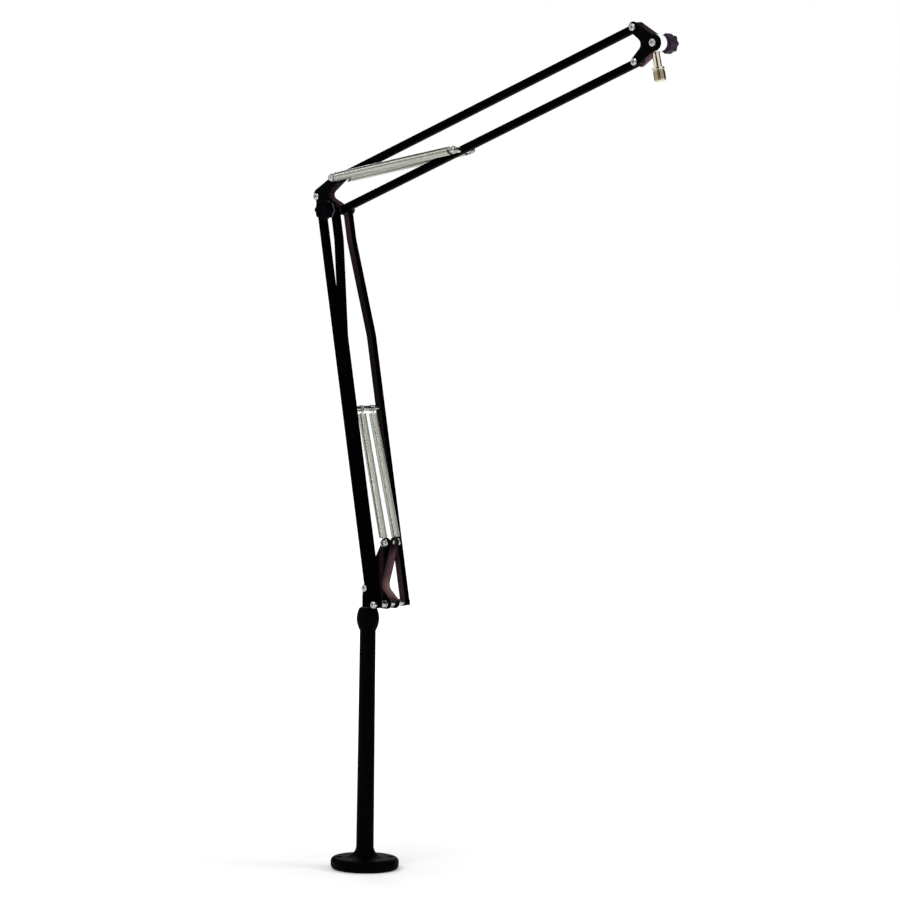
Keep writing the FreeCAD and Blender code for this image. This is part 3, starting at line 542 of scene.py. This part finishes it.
def square_tube(start, finish_at, z0, z1):
    clear_selection()
    bpy.ops.mesh.primitive_cube_add(size=1, location=(0, 0, (z0 + z1) / 2))
    obj = bpy.context.object
    obj.scale = (TUBE, TUBE, z1 - z0)
    settle(obj)
    begin_edit(obj)
    pick(obj, lambda c, n: abs(n.z) > FACING)
    bpy.ops.mesh.delete(type="ONLY_FACE")
    bpy.ops.mesh.select_mode(type="EDGE")
    pick(obj, lambda c, d: abs(d.z) > FACING, "edges")
    bpy.ops.mesh.bevel(offset=CORNER, segments=CORNER_CUTS, affect="EDGES")
    end_edit()
    wall_up(obj)
    settle(obj, lean_matrix(start, lean_of(start, finish_at)))
    return obj


PLUG_FLANGE, LINK_END, MAIN_END = 1.0 * MM, 6.0 * MM, 5.4 * MM
reach = LINK_END - PLUG_FLANGE
for node, a, b in (("rear_link_tube", REAR, ELBOW_REAR), ("boom_tube_lower", ELBOW, HEAD),
                   ("boom_tube_upper", ELBOW_TOP, HEAD_TOP)):
    bar = square_tube(a, b, -reach, (b - a).length + reach)
    hand_over(bar, node.replace("_tube", "_bar"), [node], tube_paint)
    print(node, "bar", round(1000 * ((b - a).length + 2 * reach), 1), "mm long")

# %% [markdown]
# The main pair of bars is wide at the base and drawn in at the elbow. The end of a short bar is
# spun round a centre for each bend and extruded for each straight run, as a bender would do it.


# %% Bent main bars
PAIR_BASE, PAIR_ELBOW = 29.07 * MM, 13.04 * MM
BEND_AT, STRAIGHT_AT, BEND_RADIUS, BEND_STEPS = 175.0 * MM, 41.0 * MM, 60.0 * MM, 6
WELD = 1e-6  # metres; points nearer than this are one point


def bent_bar(side):
    z0 = PLUG_FLANGE - MAIN_END
    z1 = LOWER_LENGTH - BEND_AT
    z2 = LOWER_LENGTH - STRAIGHT_AT
    z3 = LOWER_LENGTH + MAIN_END - PLUG_FLANGE
    bend = atan2(PAIR_BASE - PAIR_ELBOW, z2 - z1)
    trim = BEND_RADIUS * tan(bend / 2)
    clear_selection()
    bpy.ops.mesh.primitive_cube_add(size=1, location=(0, side * PAIR_BASE, (z0 + z1 - trim) / 2))
    obj = bpy.context.object
    obj.scale = (TUBE, TUBE, z1 - trim - z0)
    settle(obj)
    begin_edit(obj, "EDGE")
    pick(obj, lambda c, d: abs(d.z) > FACING, "edges")
    bpy.ops.mesh.bevel(offset=CORNER, segments=CORNER_CUTS, affect="EDGES")
    bpy.ops.mesh.select_mode(type="FACE")
    pick(obj, lambda c, n: n.z < -FACING)
    bpy.ops.mesh.delete(type="ONLY_FACE")
    pick(obj, lambda c, n: n.z > FACING)
    bpy.ops.mesh.spin(steps=BEND_STEPS, angle=-side * bend, axis=(1, 0, 0),
                      center=(0, side * (PAIR_BASE - BEND_RADIUS), z1 - trim))
    run = hypot(PAIR_BASE - PAIR_ELBOW, z2 - z1) - 2 * trim
    step = (0, -side * run * sin(bend), run * cos(bend))
    bpy.ops.mesh.extrude_region_move(TRANSFORM_OT_translate={"value": step})
    bpy.ops.mesh.spin(steps=BEND_STEPS, angle=side * bend, axis=(1, 0, 0),
                      center=(0, side * (PAIR_ELBOW + BEND_RADIUS), z2 + trim))
    bpy.ops.mesh.extrude_region_move(TRANSFORM_OT_translate={"value": (0, 0, z3 - z2 - trim)})
    bpy.ops.mesh.delete(type="ONLY_FACE")
    bpy.ops.mesh.select_all(action="SELECT")
    bpy.ops.mesh.remove_doubles(threshold=WELD)
    bpy.ops.mesh.normals_make_consistent(inside=False)
    end_edit()
    wall_up(obj)
    settle(obj, lean_matrix(BASE, lean_of(BASE, ELBOW)))
    return obj


for node, side in (("lower_tube_near", -1), ("lower_tube_far", 1)):
    bar = bent_bar(side)
    hand_over(bar, node.replace("_tube", "_bar"), [node], tube_paint)
    if side > 0:
        # painted light on the far bar's inward faces
        second_coat(bar, far_bar_painted_light, looks_near)
    print(node, "bar:", len(bar.data.polygons), "faces")

# %% [markdown]
# The springs are close-wound: every turn of drawn wire lies against the next. A ring of wire is
# swept by a Screw modifier, and the hook is the same ring spun into a loop as wide as the coil. The
# loop hangs on its pin, so its middle lies a little off the pin's. As the arm moves a real spring
# grows, so each one is made as two coils that lie in one another at rest and slide apart: one
# hangs on the lower pin and one on the upper.

# %% One half of a spring
COIL_R, COIL_START = 5.2 * MM, 7.9 * MM
HOOK_R, HOOK_LIFT = 4.95 * MM, 1.0 * MM
WIRE_SIDES, STEPS, HOOK_STEPS, BRIDGE_CUTS, BRIDGE_EASE = 8, 24, 28, 10, 1.2
RING_REACH = 0.51  # of the wire, just past a ring's own points
HOOK_LEAVES, HOOK_TURN = radians(330), radians(285)


def wound_half(turns, pitch, wire):
    """Coil and hook drawn up along Z, with the pin along Y through the origin."""
    clear_selection()
    start = Vector((COIL_R, 0, COIL_START))
    bpy.ops.mesh.primitive_circle_add(vertices=WIRE_SIDES, radius=wire / 2, location=start,
                                      rotation=(pi / 2, 0, 0), fill_type="NOTHING")
    coil = bpy.context.object
    settle(coil)
    sweep = coil.modifiers.new("turns", "SCREW")
    sweep.axis = "Z"
    sweep.angle = 2 * pi
    sweep.screw_offset = pitch
    sweep.iterations = turns
    sweep.steps = sweep.render_steps = STEPS
    apply_modifiers(coil)
    clear_selection()
    leave = Vector((HOOK_R * sin(HOOK_LEAVES), 0, HOOK_LIFT + HOOK_R * cos(HOOK_LEAVES)))
    bpy.ops.mesh.primitive_circle_add(vertices=WIRE_SIDES, radius=wire / 2, location=leave,
                                      rotation=(0, HOOK_LEAVES + pi / 2, 0), fill_type="NOTHING")
    hook = bpy.context.object
    settle(hook)
    begin_edit(hook, "EDGE")
    bpy.ops.mesh.select_all(action="SELECT")
    bpy.ops.mesh.spin(steps=HOOK_STEPS, angle=HOOK_TURN, center=(0, 0, HOOK_LIFT), axis=(0, 1, 0))
    end_edit()
    take(coil)
    hook.select_set(True)
    bpy.ops.object.join()
    near = RING_REACH * wire
    begin_edit(coil, "VERT")
    pick(coil, lambda c, n: (c - start).length < near or (c - leave).length < near, "vertices")
    bpy.ops.mesh.bridge_edge_loops(number_cuts=BRIDGE_CUTS, interpolation="SURFACE", smoothness=BRIDGE_EASE)
    bpy.ops.mesh.select_all(action="SELECT")
    bpy.ops.mesh.fill_holes(sides=0)
    bpy.ops.mesh.select_all(action="SELECT")
    bpy.ops.mesh.normals_make_consistent(inside=False)
    end_edit()
    return coil


# %% [markdown]
# The two halves share their turns only if the coil's length is a whole number of turns and a
# half, since the upper half is the lower one turned end for end. The pitch is set by that rule.
# The upper half's wire is a hair thinner, so at rest it lies wholly inside the lower one's.

# %% Four springs in eight halves
WIRE, CLOSE_PITCH, INNER_WIRE = 1.3 * MM, 1.34 * MM, 0.93


def spring_pair(name, foot, top, foot_y, top_y, share, wire_finish):
    """Wind a near and a far spring from the foot pin to the top pin, each in two halves."""
    roller_node = f"{name}_spring_rollers"
    faces = []
    for side, tag in ((-1, "near"), (1, "far")):
        node = f"{name}_spring_{tag}"
        a = Vector((foot.x, side * foot_y, foot.z))
        b = Vector((top.x, side * top_y, top.z))
        wound = (b - a).length - 2 * COIL_START
        count = round(wound / CLOSE_PITCH - 0.5)
        pitch = wound / (count + 0.5)
        turns = round(share * count)
        up = (b - a).normalized()
        across = Vector((0, 1, 0)).cross(up).normalized()
        out = up.cross(across)
        place = Matrix((across, out, up)).transposed().to_4x4()
        upper_place = Matrix((-across, out, -up)).transposed().to_4x4()
        half = wound_half(turns, pitch, WIRE)
        settle(half, Matrix.Translation(a) @ place)
        hand_over(half, f"{name}_coil_foot_{tag}", [node], wire_finish, WIRE_SMOOTH)
        other = wound_half(turns, pitch, INNER_WIRE * WIRE)
        settle(other, Matrix.Translation(b) @ upper_place)
        hand_over(other, f"{name}_coil_top_{tag}", [node], wire_finish, WIRE_SMOOTH)
        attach(other, body_of[roller_node])
        faces.append(len(half.data.polygons))
    print(name, "springs:", turns, "turns a half,", round(1000 * pitch, 3), "mm pitch,", faces, "faces")


LOWER_FOOT_Y, LOWER_TOP_Y, BOOM_Y = 13.0 * MM, 11.2 * MM, 17.4 * MM
LOWER_SHARE, BOOM_SHARE = 0.68, 0.66  # of all the turns, in each half
spring_pair("lower", TIP, LOWER_PIN, LOWER_FOOT_Y, LOWER_TOP_Y, LOWER_SHARE, finish["spring_wire"])
# the boom's springs take the darker wire, painted shade
spring_pair("boom", ELBOW_TOP, BOOM_PIN, BOOM_Y, BOOM_Y, BOOM_SHARE, boom_shaded_wire)

# %% [markdown]
# The boom springs' anchor is not on the boom's own pivot, so at the ends of the travel a real
# spring lies about three degrees off the turn its hinge gives. Here each boom coil only gets a
# mesh of its own; nothing leans the coils.

# %% Give each boom coil a mesh of its own
for obj in made:
    if obj.name.startswith("boom_coil"):
        anchor = ELBOW_TOP if "foot" in obj.name else BOOM_PIN
        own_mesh(obj)

# %% [markdown]
# The stud is a turned piece: a slim shaft, a shoulder, a neck and the threaded end. The thread is
# real: a small hexagon of metal is swept up the core by a Screw modifier, 27 turns to the inch.
# Its outer side is flat, as a rolled thread's crest is, and mirrors the room in long stripes.

# %% Microphone stud
SHAFT_R, THREAD_R, THREAD_DEPTH, NECK_R = 5.1 * MM, 7.9375 * MM, 0.5 * MM, 6.8 * MM
STUD_FOOT, SHOULDER_AT, SHOULDER_TOP, THREAD_AT, STUD_TIP = (v * MM for v in (6.8, 31.0, 34.0, 35.2, 48.8))
THREAD_PITCH = 25.4 / 27 * MM
RIDGE_SHARE, RIDGE_SIDES, THREAD_STEPS, STUD_SIDES = 0.9, 6, 48, 96
SET_BACK = 5.6 * MM
EDGE = 0.35 * MM
core_r = THREAD_R - THREAD_DEPTH
rings = [
    (SHAFT_R, STUD_FOOT), (SHAFT_R, SHOULDER_AT - EDGE), (SHAFT_R + EDGE, SHOULDER_AT),
    (THREAD_R - EDGE, SHOULDER_AT), (THREAD_R, SHOULDER_AT + EDGE), (THREAD_R, SHOULDER_TOP - EDGE),
    (THREAD_R - EDGE, SHOULDER_TOP), (NECK_R, SHOULDER_TOP), (NECK_R, THREAD_AT), (core_r, THREAD_AT + EDGE),
    (core_r, STUD_TIP - 2 * EDGE), (core_r - 2 * EDGE, STUD_TIP),
]
stud = turn_up("stud", rings, STUD_SIDES)
clear_selection()
bpy.ops.mesh.primitive_circle_add(vertices=RIDGE_SIDES, radius=THREAD_DEPTH, fill_type="NOTHING",
                                  location=(core_r, 0, THREAD_AT + 2 * EDGE), rotation=(pi / 2, 0, 0))
ridge = bpy.context.object
ridge.scale = (1 / cos(pi / RIDGE_SIDES), RIDGE_SHARE * THREAD_PITCH / (2 * THREAD_DEPTH), 1)
settle(ridge)
sweep = ridge.modifiers.new("thread", "SCREW")
sweep.axis = "Z"
sweep.screw_offset = THREAD_PITCH
thread_turns = int((STUD_TIP - THREAD_AT - 5 * EDGE) / THREAD_PITCH)
sweep.iterations = thread_turns
sweep.steps = sweep.render_steps = THREAD_STEPS
apply_modifiers(ridge)
begin_edit(ridge)
bpy.ops.mesh.select_all(action="SELECT")
bpy.ops.mesh.fill_holes(sides=0)
bpy.ops.mesh.normals_make_consistent(inside=False)
end_edit()
take(stud)
ridge.select_set(True)
bpy.ops.object.join()
tilt = next(m for m in frame["record"]["mounts"] if m["name"] == "mic_thread")["axis"]
settle(stud, lean_matrix(NOSE, atan2(tilt[0], tilt[2])) @ Matrix.Translation((SET_BACK, 0, 0)))
hand_over(stud, "mic_stud_turned", ["mic_stud"], smooth=FITTING_SMOOTH)
# the thread gets the darker brass, painted shade
second_coat(stud, thread_shaded_brass, lambda c, n: (c - NOSE).dot(Vector(tilt)) > SHOULDER_TOP)
print("stud:", thread_turns, "turns of thread,", len(stud.data.polygons), "faces")

# %% [markdown]
# The white barrel turns between the head plates. It is a drum with its rims rounded over and a
# shallow dish in each face, so only a ring of it rubs on the plates.

# %% White swivel barrel
barrel_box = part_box("swivel_barrel")
BARREL_R, BARREL_HALF, BARREL_SIDES = 10.8 * MM, barrel_box[1].y, 96
RUBBING_RING, DISH, RIM_ROUND, ROUND_CUTS = 2.0 * MM, 0.4 * MM, 0.6 * MM, 4
clear_selection()
bpy.ops.mesh.primitive_cylinder_add(vertices=BARREL_SIDES, radius=BARREL_R, depth=2 * BARREL_HALF,
                                    rotation=(pi / 2, 0, 0))
barrel = bpy.context.object
settle(barrel)
begin_edit(barrel)
pick(barrel, lambda c, n: abs(n.y) > FACING)
bpy.ops.mesh.inset(thickness=RUBBING_RING, use_individual=True)
bpy.ops.mesh.inset(thickness=DISH, depth=-DISH, use_individual=True)
bpy.ops.mesh.select_mode(type="EDGE")
pick(barrel, lambda c, d: abs(abs(c.y) - BARREL_HALF) < WELD and hypot(c.x, c.z) > 0.99 * BARREL_R, "edges")
bpy.ops.mesh.bevel(offset=RIM_ROUND, segments=ROUND_CUTS, affect="EDGES")
end_edit()
settle(barrel, Matrix.Translation(NOSE))
hand_over(barrel, "swivel_drum", ["swivel_barrel"], smooth=FITTING_SMOOTH)
print("barrel:", len(barrel.data.polygons), "faces")

# %% [markdown]
# Both clamping knobs have the same grip with eight rounded lobes. A fine circle has its points
# drawn in near each valley, a little more for every narrower window, which leaves smooth scallops.
# Then the outline is pulled up ring by ring to a rounded rim and a shallow dish.

# %% Clamping knobs
KNOB_R, KNOB_THICK, BOSS_R, LOBES = 13.2 * MM, 14.0 * MM, 8.5 * MM, 8
ELBOW_BOSS, HEAD_BOSS, BOSS_ROUND = 8.4 * MM, 6.4 * MM, 0.5 * MM
BOSS_SIDES, BOSS_CUTS = 64, 3
LOBE_POINTS, VALLEY_PULL, VALLEY_WINDOWS = 24, 0.978, (0.40, 0.34, 0.28, 0.22, 0.16, 0.10)
GRIP_PROFILE = [(0.0, 0.90), (0.03, 0.955), (0.10, 1.0), (0.16, 1.0), (0.88, 1.0), (0.94, 0.985),
                (0.98, 0.95), (1.0, 0.90), (1.0, 0.78), (0.995, 0.70), (0.95, 0.62), (0.94, 0.2)]
RIM_SHARE = 0.16


def star_knob(boss):
    """Knob drawn up along Z from its seat: boss first, then the grip."""
    clear_selection()
    bpy.ops.mesh.primitive_circle_add(vertices=LOBE_POINTS * LOBES, radius=KNOB_R, location=(0, 0, boss),
                                      fill_type="NGON")
    obj = bpy.context.object
    settle(obj)
    begin_edit(obj, "VERT")
    lobe = 2 * pi / LOBES
    for window in VALLEY_WINDOWS:
        pick(obj, lambda c, n: abs((atan2(c.x, c.y) / lobe) % 1 - 0.5) < window, "vertices")
        bpy.ops.transform.resize(value=(VALLEY_PULL, VALLEY_PULL, 1), center_override=(0, 0, boss))
    bpy.ops.mesh.select_mode(type="FACE")
    bpy.ops.mesh.select_all(action="SELECT")
    bpy.ops.mesh.flip_normals()
    start = GRIP_PROFILE[0][1]
    bpy.ops.transform.resize(value=(start, start, 1), center_override=(0, 0, boss))
    for (t0, r0), (t1, r1) in zip(GRIP_PROFILE, GRIP_PROFILE[1:]):
        rise = (0, 0, (t1 - t0) * KNOB_THICK)
        bpy.ops.mesh.extrude_region_move(TRANSFORM_OT_translate={"value": rise})
        middle = (0, 0, boss + t1 * KNOB_THICK)
        bpy.ops.transform.resize(value=(r1 / r0, r1 / r0, 1), center_override=middle)
    bpy.ops.mesh.select_all(action="SELECT")
    bpy.ops.mesh.normals_make_consistent(inside=False)
    end_edit()
    clear_selection()
    bpy.ops.mesh.primitive_cylinder_add(vertices=BOSS_SIDES, radius=BOSS_R, depth=boss + MM,
                                        location=(0, 0, (boss + MM) / 2))
    foot = bpy.context.object
    settle(foot)
    begin_edit(foot, "EDGE")
    pick(foot, lambda c, d: c.z < WELD, "edges")
    bpy.ops.mesh.bevel(offset=BOSS_ROUND, segments=BOSS_CUTS, affect="EDGES")
    end_edit()
    take(obj)
    foot.select_set(True)
    bpy.ops.object.join()
    return obj


def knob_on(node, at, side, boss, material=None):
    """Seat a knob on the near (-1) or far (1) side of a pivot; one of its own colour gets a painted highlight
    on its rim.
    """
    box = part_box(node)
    seat = box[0].y if side > 0 else box[1].y
    knob = star_knob(boss)
    settle(knob, Matrix.Translation((at.x, seat, at.z)) @ Matrix.Rotation(-side * pi / 2, 4, "X"))
    hand_over(knob, node + "_star", [node], material, FITTING_SMOOTH)
    if material:
        # the band next to the boss gets the painted highlight
        rim_from, rim_to = sorted((seat + side * boss, seat + side * (boss + RIM_SHARE * KNOB_THICK)))
        second_coat(knob, rim_painted_highlight, lambda c, n: rim_from < c.y < rim_to)
    print(node, "star:", len(knob.data.polygons), "faces")


knob_on("elbow_knob", ELBOW, -1, ELBOW_BOSS, elbow_plastic)
knob_on("head_knob", NOSE, 1, HEAD_BOSS)

# %% [markdown]
# The plates, pins, nuts and washers already have the right shapes, but every pressed or turned
# edge is a little rounded, and that thin rim is what catches the light. A copy of each solid is
# merged, its flat faces are joined, and a Bevel modifier breaks its sharp edges. The screws get
# their crossed recesses here. These, and the bolt's socket, are dark with old grease and with
# painted shade.


# %% Softened copies of the plates and fittings
JOIN, FLAT, SHARP, RIM_CUTS = 2e-6, radians(0.6), radians(38), 2


def softened(node, width):
    take(nodes[node])
    bpy.ops.object.duplicate()
    obj = bpy.context.object
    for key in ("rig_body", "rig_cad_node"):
        if key in obj:
            del obj[key]
    bpy.ops.object.parent_clear(type="CLEAR_KEEP_TRANSFORM")
    begin_edit(obj)
    bpy.ops.mesh.select_all(action="SELECT")
    bpy.ops.mesh.remove_doubles(threshold=JOIN)
    bpy.ops.mesh.dissolve_limited(angle_limit=FLAT)
    end_edit()
    rim = obj.modifiers.new("rim", "BEVEL")
    rim.width = width
    rim.segments = RIM_CUTS
    rim.limit_method = "ANGLE"
    rim.angle_limit = SHARP
    apply_modifiers(obj)
    return obj


RECESS_WIDE, RECESS_DEEP, RECESS_SLOT, RECESS_TURN = 4.8 * MM, 1.3 * MM, 0.95 * MM, 0.5


def cut_cross(obj, at, y_face):
    """Press a cross recess for a screwdriver into a screw's head."""
    for turn in (RECESS_TURN, RECESS_TURN + pi / 2):
        clear_selection()
        bpy.ops.mesh.primitive_cube_add(size=1)
        blade = bpy.context.object
        blade.scale = (RECESS_WIDE, 2 * RECESS_DEEP, RECESS_SLOT)
        blade.rotation_euler = (0, turn, 0)
        blade.location = (at.x, y_face, at.z)
        settle(blade)
        cut = obj.modifiers.new("recess", "BOOLEAN")
        cut.operation = "DIFFERENCE"
        cut.object = blade
        apply_modifiers(obj)
        bpy.data.objects.remove(blade)


REACH_DOWN, REACH_OUT, SOCKET_REACH = 1.1 * RECESS_DEEP, 0.52 * RECESS_WIDE, 2.6 * MM
STEEP = 0.5  # a face whose normal leans less than this along Y is a wall
# old grease and painted shade for the insides of the recesses and the socket
grease_and_painted_shade = paint("grease_and_painted_shade", (0.010, 0.009, 0.008), (0.035, 0.032, 0.028), 0.55)


def in_recess(heads, box):
    """Make a test for the faces inside the recesses of these heads."""

    def test(c, n):
        for at, side in heads:
            down = c.y - box[0].y if side < 0 else box[1].y - c.y
            sunk = abs(n.y) < STEEP or down > RECESS_DEEP / 2
            if sunk and down < REACH_DOWN and hypot(c.x - at.x, c.z - at.z) < REACH_OUT:
                return True
        return False

    return test


crossed = {
    "rear_pivot_screw": [(REAR, -1)], "elbow_link_screw": [(ELBOW_REAR, -1)],
    "head_pivot_screws": [(HEAD, -1), (HEAD_TOP, -1)], "boom_spring_pin": [(BOOM_PIN, -1), (BOOM_PIN, 1)],
    "base_axle": [(BASE, -1)], "spring_studs": [(TIP, -1), (TIP, 1)],
}
painted_light_nodes = {"base_plate_near": painted_reflection_near, "base_plate_far": base_plate_painted_light,
              "elbow_plate_far": inward_painted_light, "head_plate_far": head_plate_painted_light}
rounding = {"black_paint": 0.35 * MM, "zinc_steel": 0.25 * MM, "black_nylon": 0.25 * MM}
done = {n for o in made for n in o["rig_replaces"]}
for node in sorted(set(nodes) - done):
    copy = softened(node, rounding[slot_of[node]])
    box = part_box(node)
    for at, side in crossed.get(node, []):
        cut_cross(copy, at, box[0].y if side < 0 else box[1].y)
    hand_over(copy, node + "_soft", [node], smooth=FITTING_SMOOTH)
    # painted light on the far plates' faces that look near, and a painted reflection on the near base plate's
    if node in painted_light_nodes:
        second_coat(copy, painted_light_nodes[node], looks_near)
    # the recesses and the bolt's socket get grease and painted shade
    if node in crossed:
        second_coat(copy, grease_and_painted_shade, in_recess(crossed[node], box))
    if node == "head_clamp_bolt":
        second_coat(copy, grease_and_painted_shade,
                    lambda c, n: abs(n.y) < STEEP and hypot(c.x - NOSE.x, c.z - NOSE.z) < SOCKET_REACH)
print("pieces in all:", len(made))

# %% [markdown]
# A studio for catalogue photographs: a pale floor, one broad soft lamp above and to the left, a
# weaker one to the right, one behind, a fill beside the lens, and a white surround that the metal
# mirrors. Black cards that only reflections see draw dark edges on the metal. The camera sees pure
# white behind the arm, while the lamps stay at a plain level. The floor's glow is weakest round the
# foot, so that the arm keeps a soft shadow there.


# %% Floor
def sharp_rays(tree):
    """1 for rays from the camera, off metal and through glass, 0 for the rest."""
    path = tree.nodes.new("ShaderNodeLightPath")
    result = path.outputs["Is Camera Ray"]
    for kind in ("Is Glossy Ray", "Is Transmission Ray"):
        result = add_math(tree, "MAXIMUM", result, path.outputs[kind])
    return result


FLOOR_SIZE, FLOOR_GREY = 60, (0.94, 0.94, 0.94, 1)
GLOW_LOW, GLOW_HIGH, GLOW_FROM, GLOW_TO = 0.04, 0.6, 0.1, 1.6
clear_selection()
bpy.ops.mesh.primitive_plane_add(size=FLOOR_SIZE, location=(0, 0, 0))
floor = bpy.context.object
floor.name = "floor"
begin_edit(floor)
bpy.ops.mesh.select_all(action="SELECT")
bpy.ops.mesh.subdivide(number_cuts=3)
end_edit()
floor_mat, tree, shader, coords = new_finish("pale_floor")
shader.inputs["Base Color"].default_value = FLOOR_GREY
shader.inputs["Roughness"].default_value = 0.9
shader.inputs["Specular IOR Level"].default_value = 0.0
glow = tree.nodes.new("ShaderNodeEmission")
both = tree.nodes.new("ShaderNodeAddShader")
away = tree.nodes.new("ShaderNodeVectorMath")
away.operation = "LENGTH"
tree.links.new(coords.outputs["Object"], away.inputs[0])
lift = add_range(tree, away.outputs["Value"], GLOW_LOW, GLOW_HIGH, GLOW_FROM, GLOW_TO)
seen = add_math(tree, "MULTIPLY", sharp_rays(tree), lift)
tree.links.new(seen, glow.inputs["Strength"])
tree.links.new(shader.outputs[0], both.inputs[0])
tree.links.new(glow.outputs[0], both.inputs[1])
tree.links.new(both.outputs[0], tree.nodes["Material Output"].inputs["Surface"])
floor.data.materials.append(floor_mat)
print("floor", FLOOR_SIZE, "m wide")

# %% Surround and lamps
SURROUND_LIGHT, SURROUND_SEEN = 0.5, 1.0
MIDDLE = Vector((0.15, 0.0, 0.65))  # where lamps and cards face
scene = bpy.context.scene
world = scene.world or bpy.data.worlds.new("surround")
scene.world = world
world.use_nodes = True
tree = world.node_tree
back = tree.nodes["Background"]
back.inputs["Color"].default_value = (1, 1, 1, 1)
level = add_range(tree, sharp_rays(tree), SURROUND_LIGHT, SURROUND_SEEN, 0.0, 1.0)
tree.links.new(level, back.inputs["Strength"])


def soft_lamp(name, at, size, power):
    clear_selection()
    bpy.ops.object.light_add(type="AREA", location=at)
    lamp = bpy.context.object
    lamp.name = name
    lamp.data.shape = "RECTANGLE"
    lamp.data.size, lamp.data.size_y = size
    lamp.data.energy = power
    lamp.rotation_euler = (MIDDLE - Vector(at)).to_track_quat("-Z", "Y").to_euler()
    return lamp


def dark_flag(name, at, size):
    """Black card that only reflections see, so that round bright metal shows dark edges."""
    clear_selection()
    bpy.ops.mesh.primitive_plane_add(size=1, location=at)
    card = bpy.context.object
    card.name = name
    card.rotation_euler = (MIDDLE - Vector(at)).to_track_quat("Z", "Y").to_euler()
    card.scale = (*size, 1)
    bpy.ops.object.transform_apply(location=False, rotation=False, scale=True)
    card.visible_camera = card.visible_diffuse = card.visible_shadow = False
    card.data.materials.append(flag_mat)


flag_mat, tree, shader, coords = new_finish("black_flag")
weave = add_noise(tree, coords, 30.0)
tree.links.new(add_ramp(tree, weave, [(0.3, (0.006,) * 3), (0.7, (0.012,) * 3)]), shader.inputs["Base Color"])
shader.inputs["Roughness"].default_value = 0.9
dark_flag("flag_left", (-1.54, 0.62, 0.75), (1.5, 1.8))
dark_flag("flag_right", (0.95, 1.75, 1.25), (2.6, 2.6))
dark_flag("flag_over", (-0.2, 0.4, 2.9), (4.6, 2.6))
dark_flag("flag_lens", (1.47, -2.7, 1.45), (2.8, 2.4))
soft_lamp("key", (0.6, -3.2, 3.0), (2.0, 1.4), 60.0)
side_lamp = soft_lamp("side", (3.0, 1.6, 2.2), (1.4, 1.8), 45.0)
soft_lamp("rim", (-2.4, 1.8, 2.6), (1.2, 1.2), 26.0)
fill = soft_lamp("fill", (2.2, -3.4, 1.2), (1.4, 1.4), 50.0)
fill.visible_glossy = side_lamp.visible_glossy = False

# %% [markdown]
# The photograph was taken with a long lens from a little above the middle of the arm, almost level,
# and about forty degrees round towards its front. These numbers come from fitting the known pivots
# to their places in the picture.

# %% Camera
EYE = Vector((3.5265, -4.0393, 0.8980))
AIM = Vector((0.142521, 0.0, 0.585184))
ROLL, LENS, SENSOR, FAR = 0.843, 156.79, 36.0, 100.0
clear_selection()
bpy.ops.object.camera_add(location=EYE)
camera = bpy.context.object
look = (AIM - EYE).to_track_quat("-Z", "Y").to_matrix()
camera.rotation_euler = (look @ Matrix.Rotation(radians(ROLL), 3, "Z")).to_euler()
camera.data.lens = LENS
camera.data.sensor_width = SENSOR
camera.data.clip_end = FAR
scene.camera = camera
scene.view_settings.view_transform = "Standard"
print("camera", round((EYE - AIM).length, 3), "m from the arm")
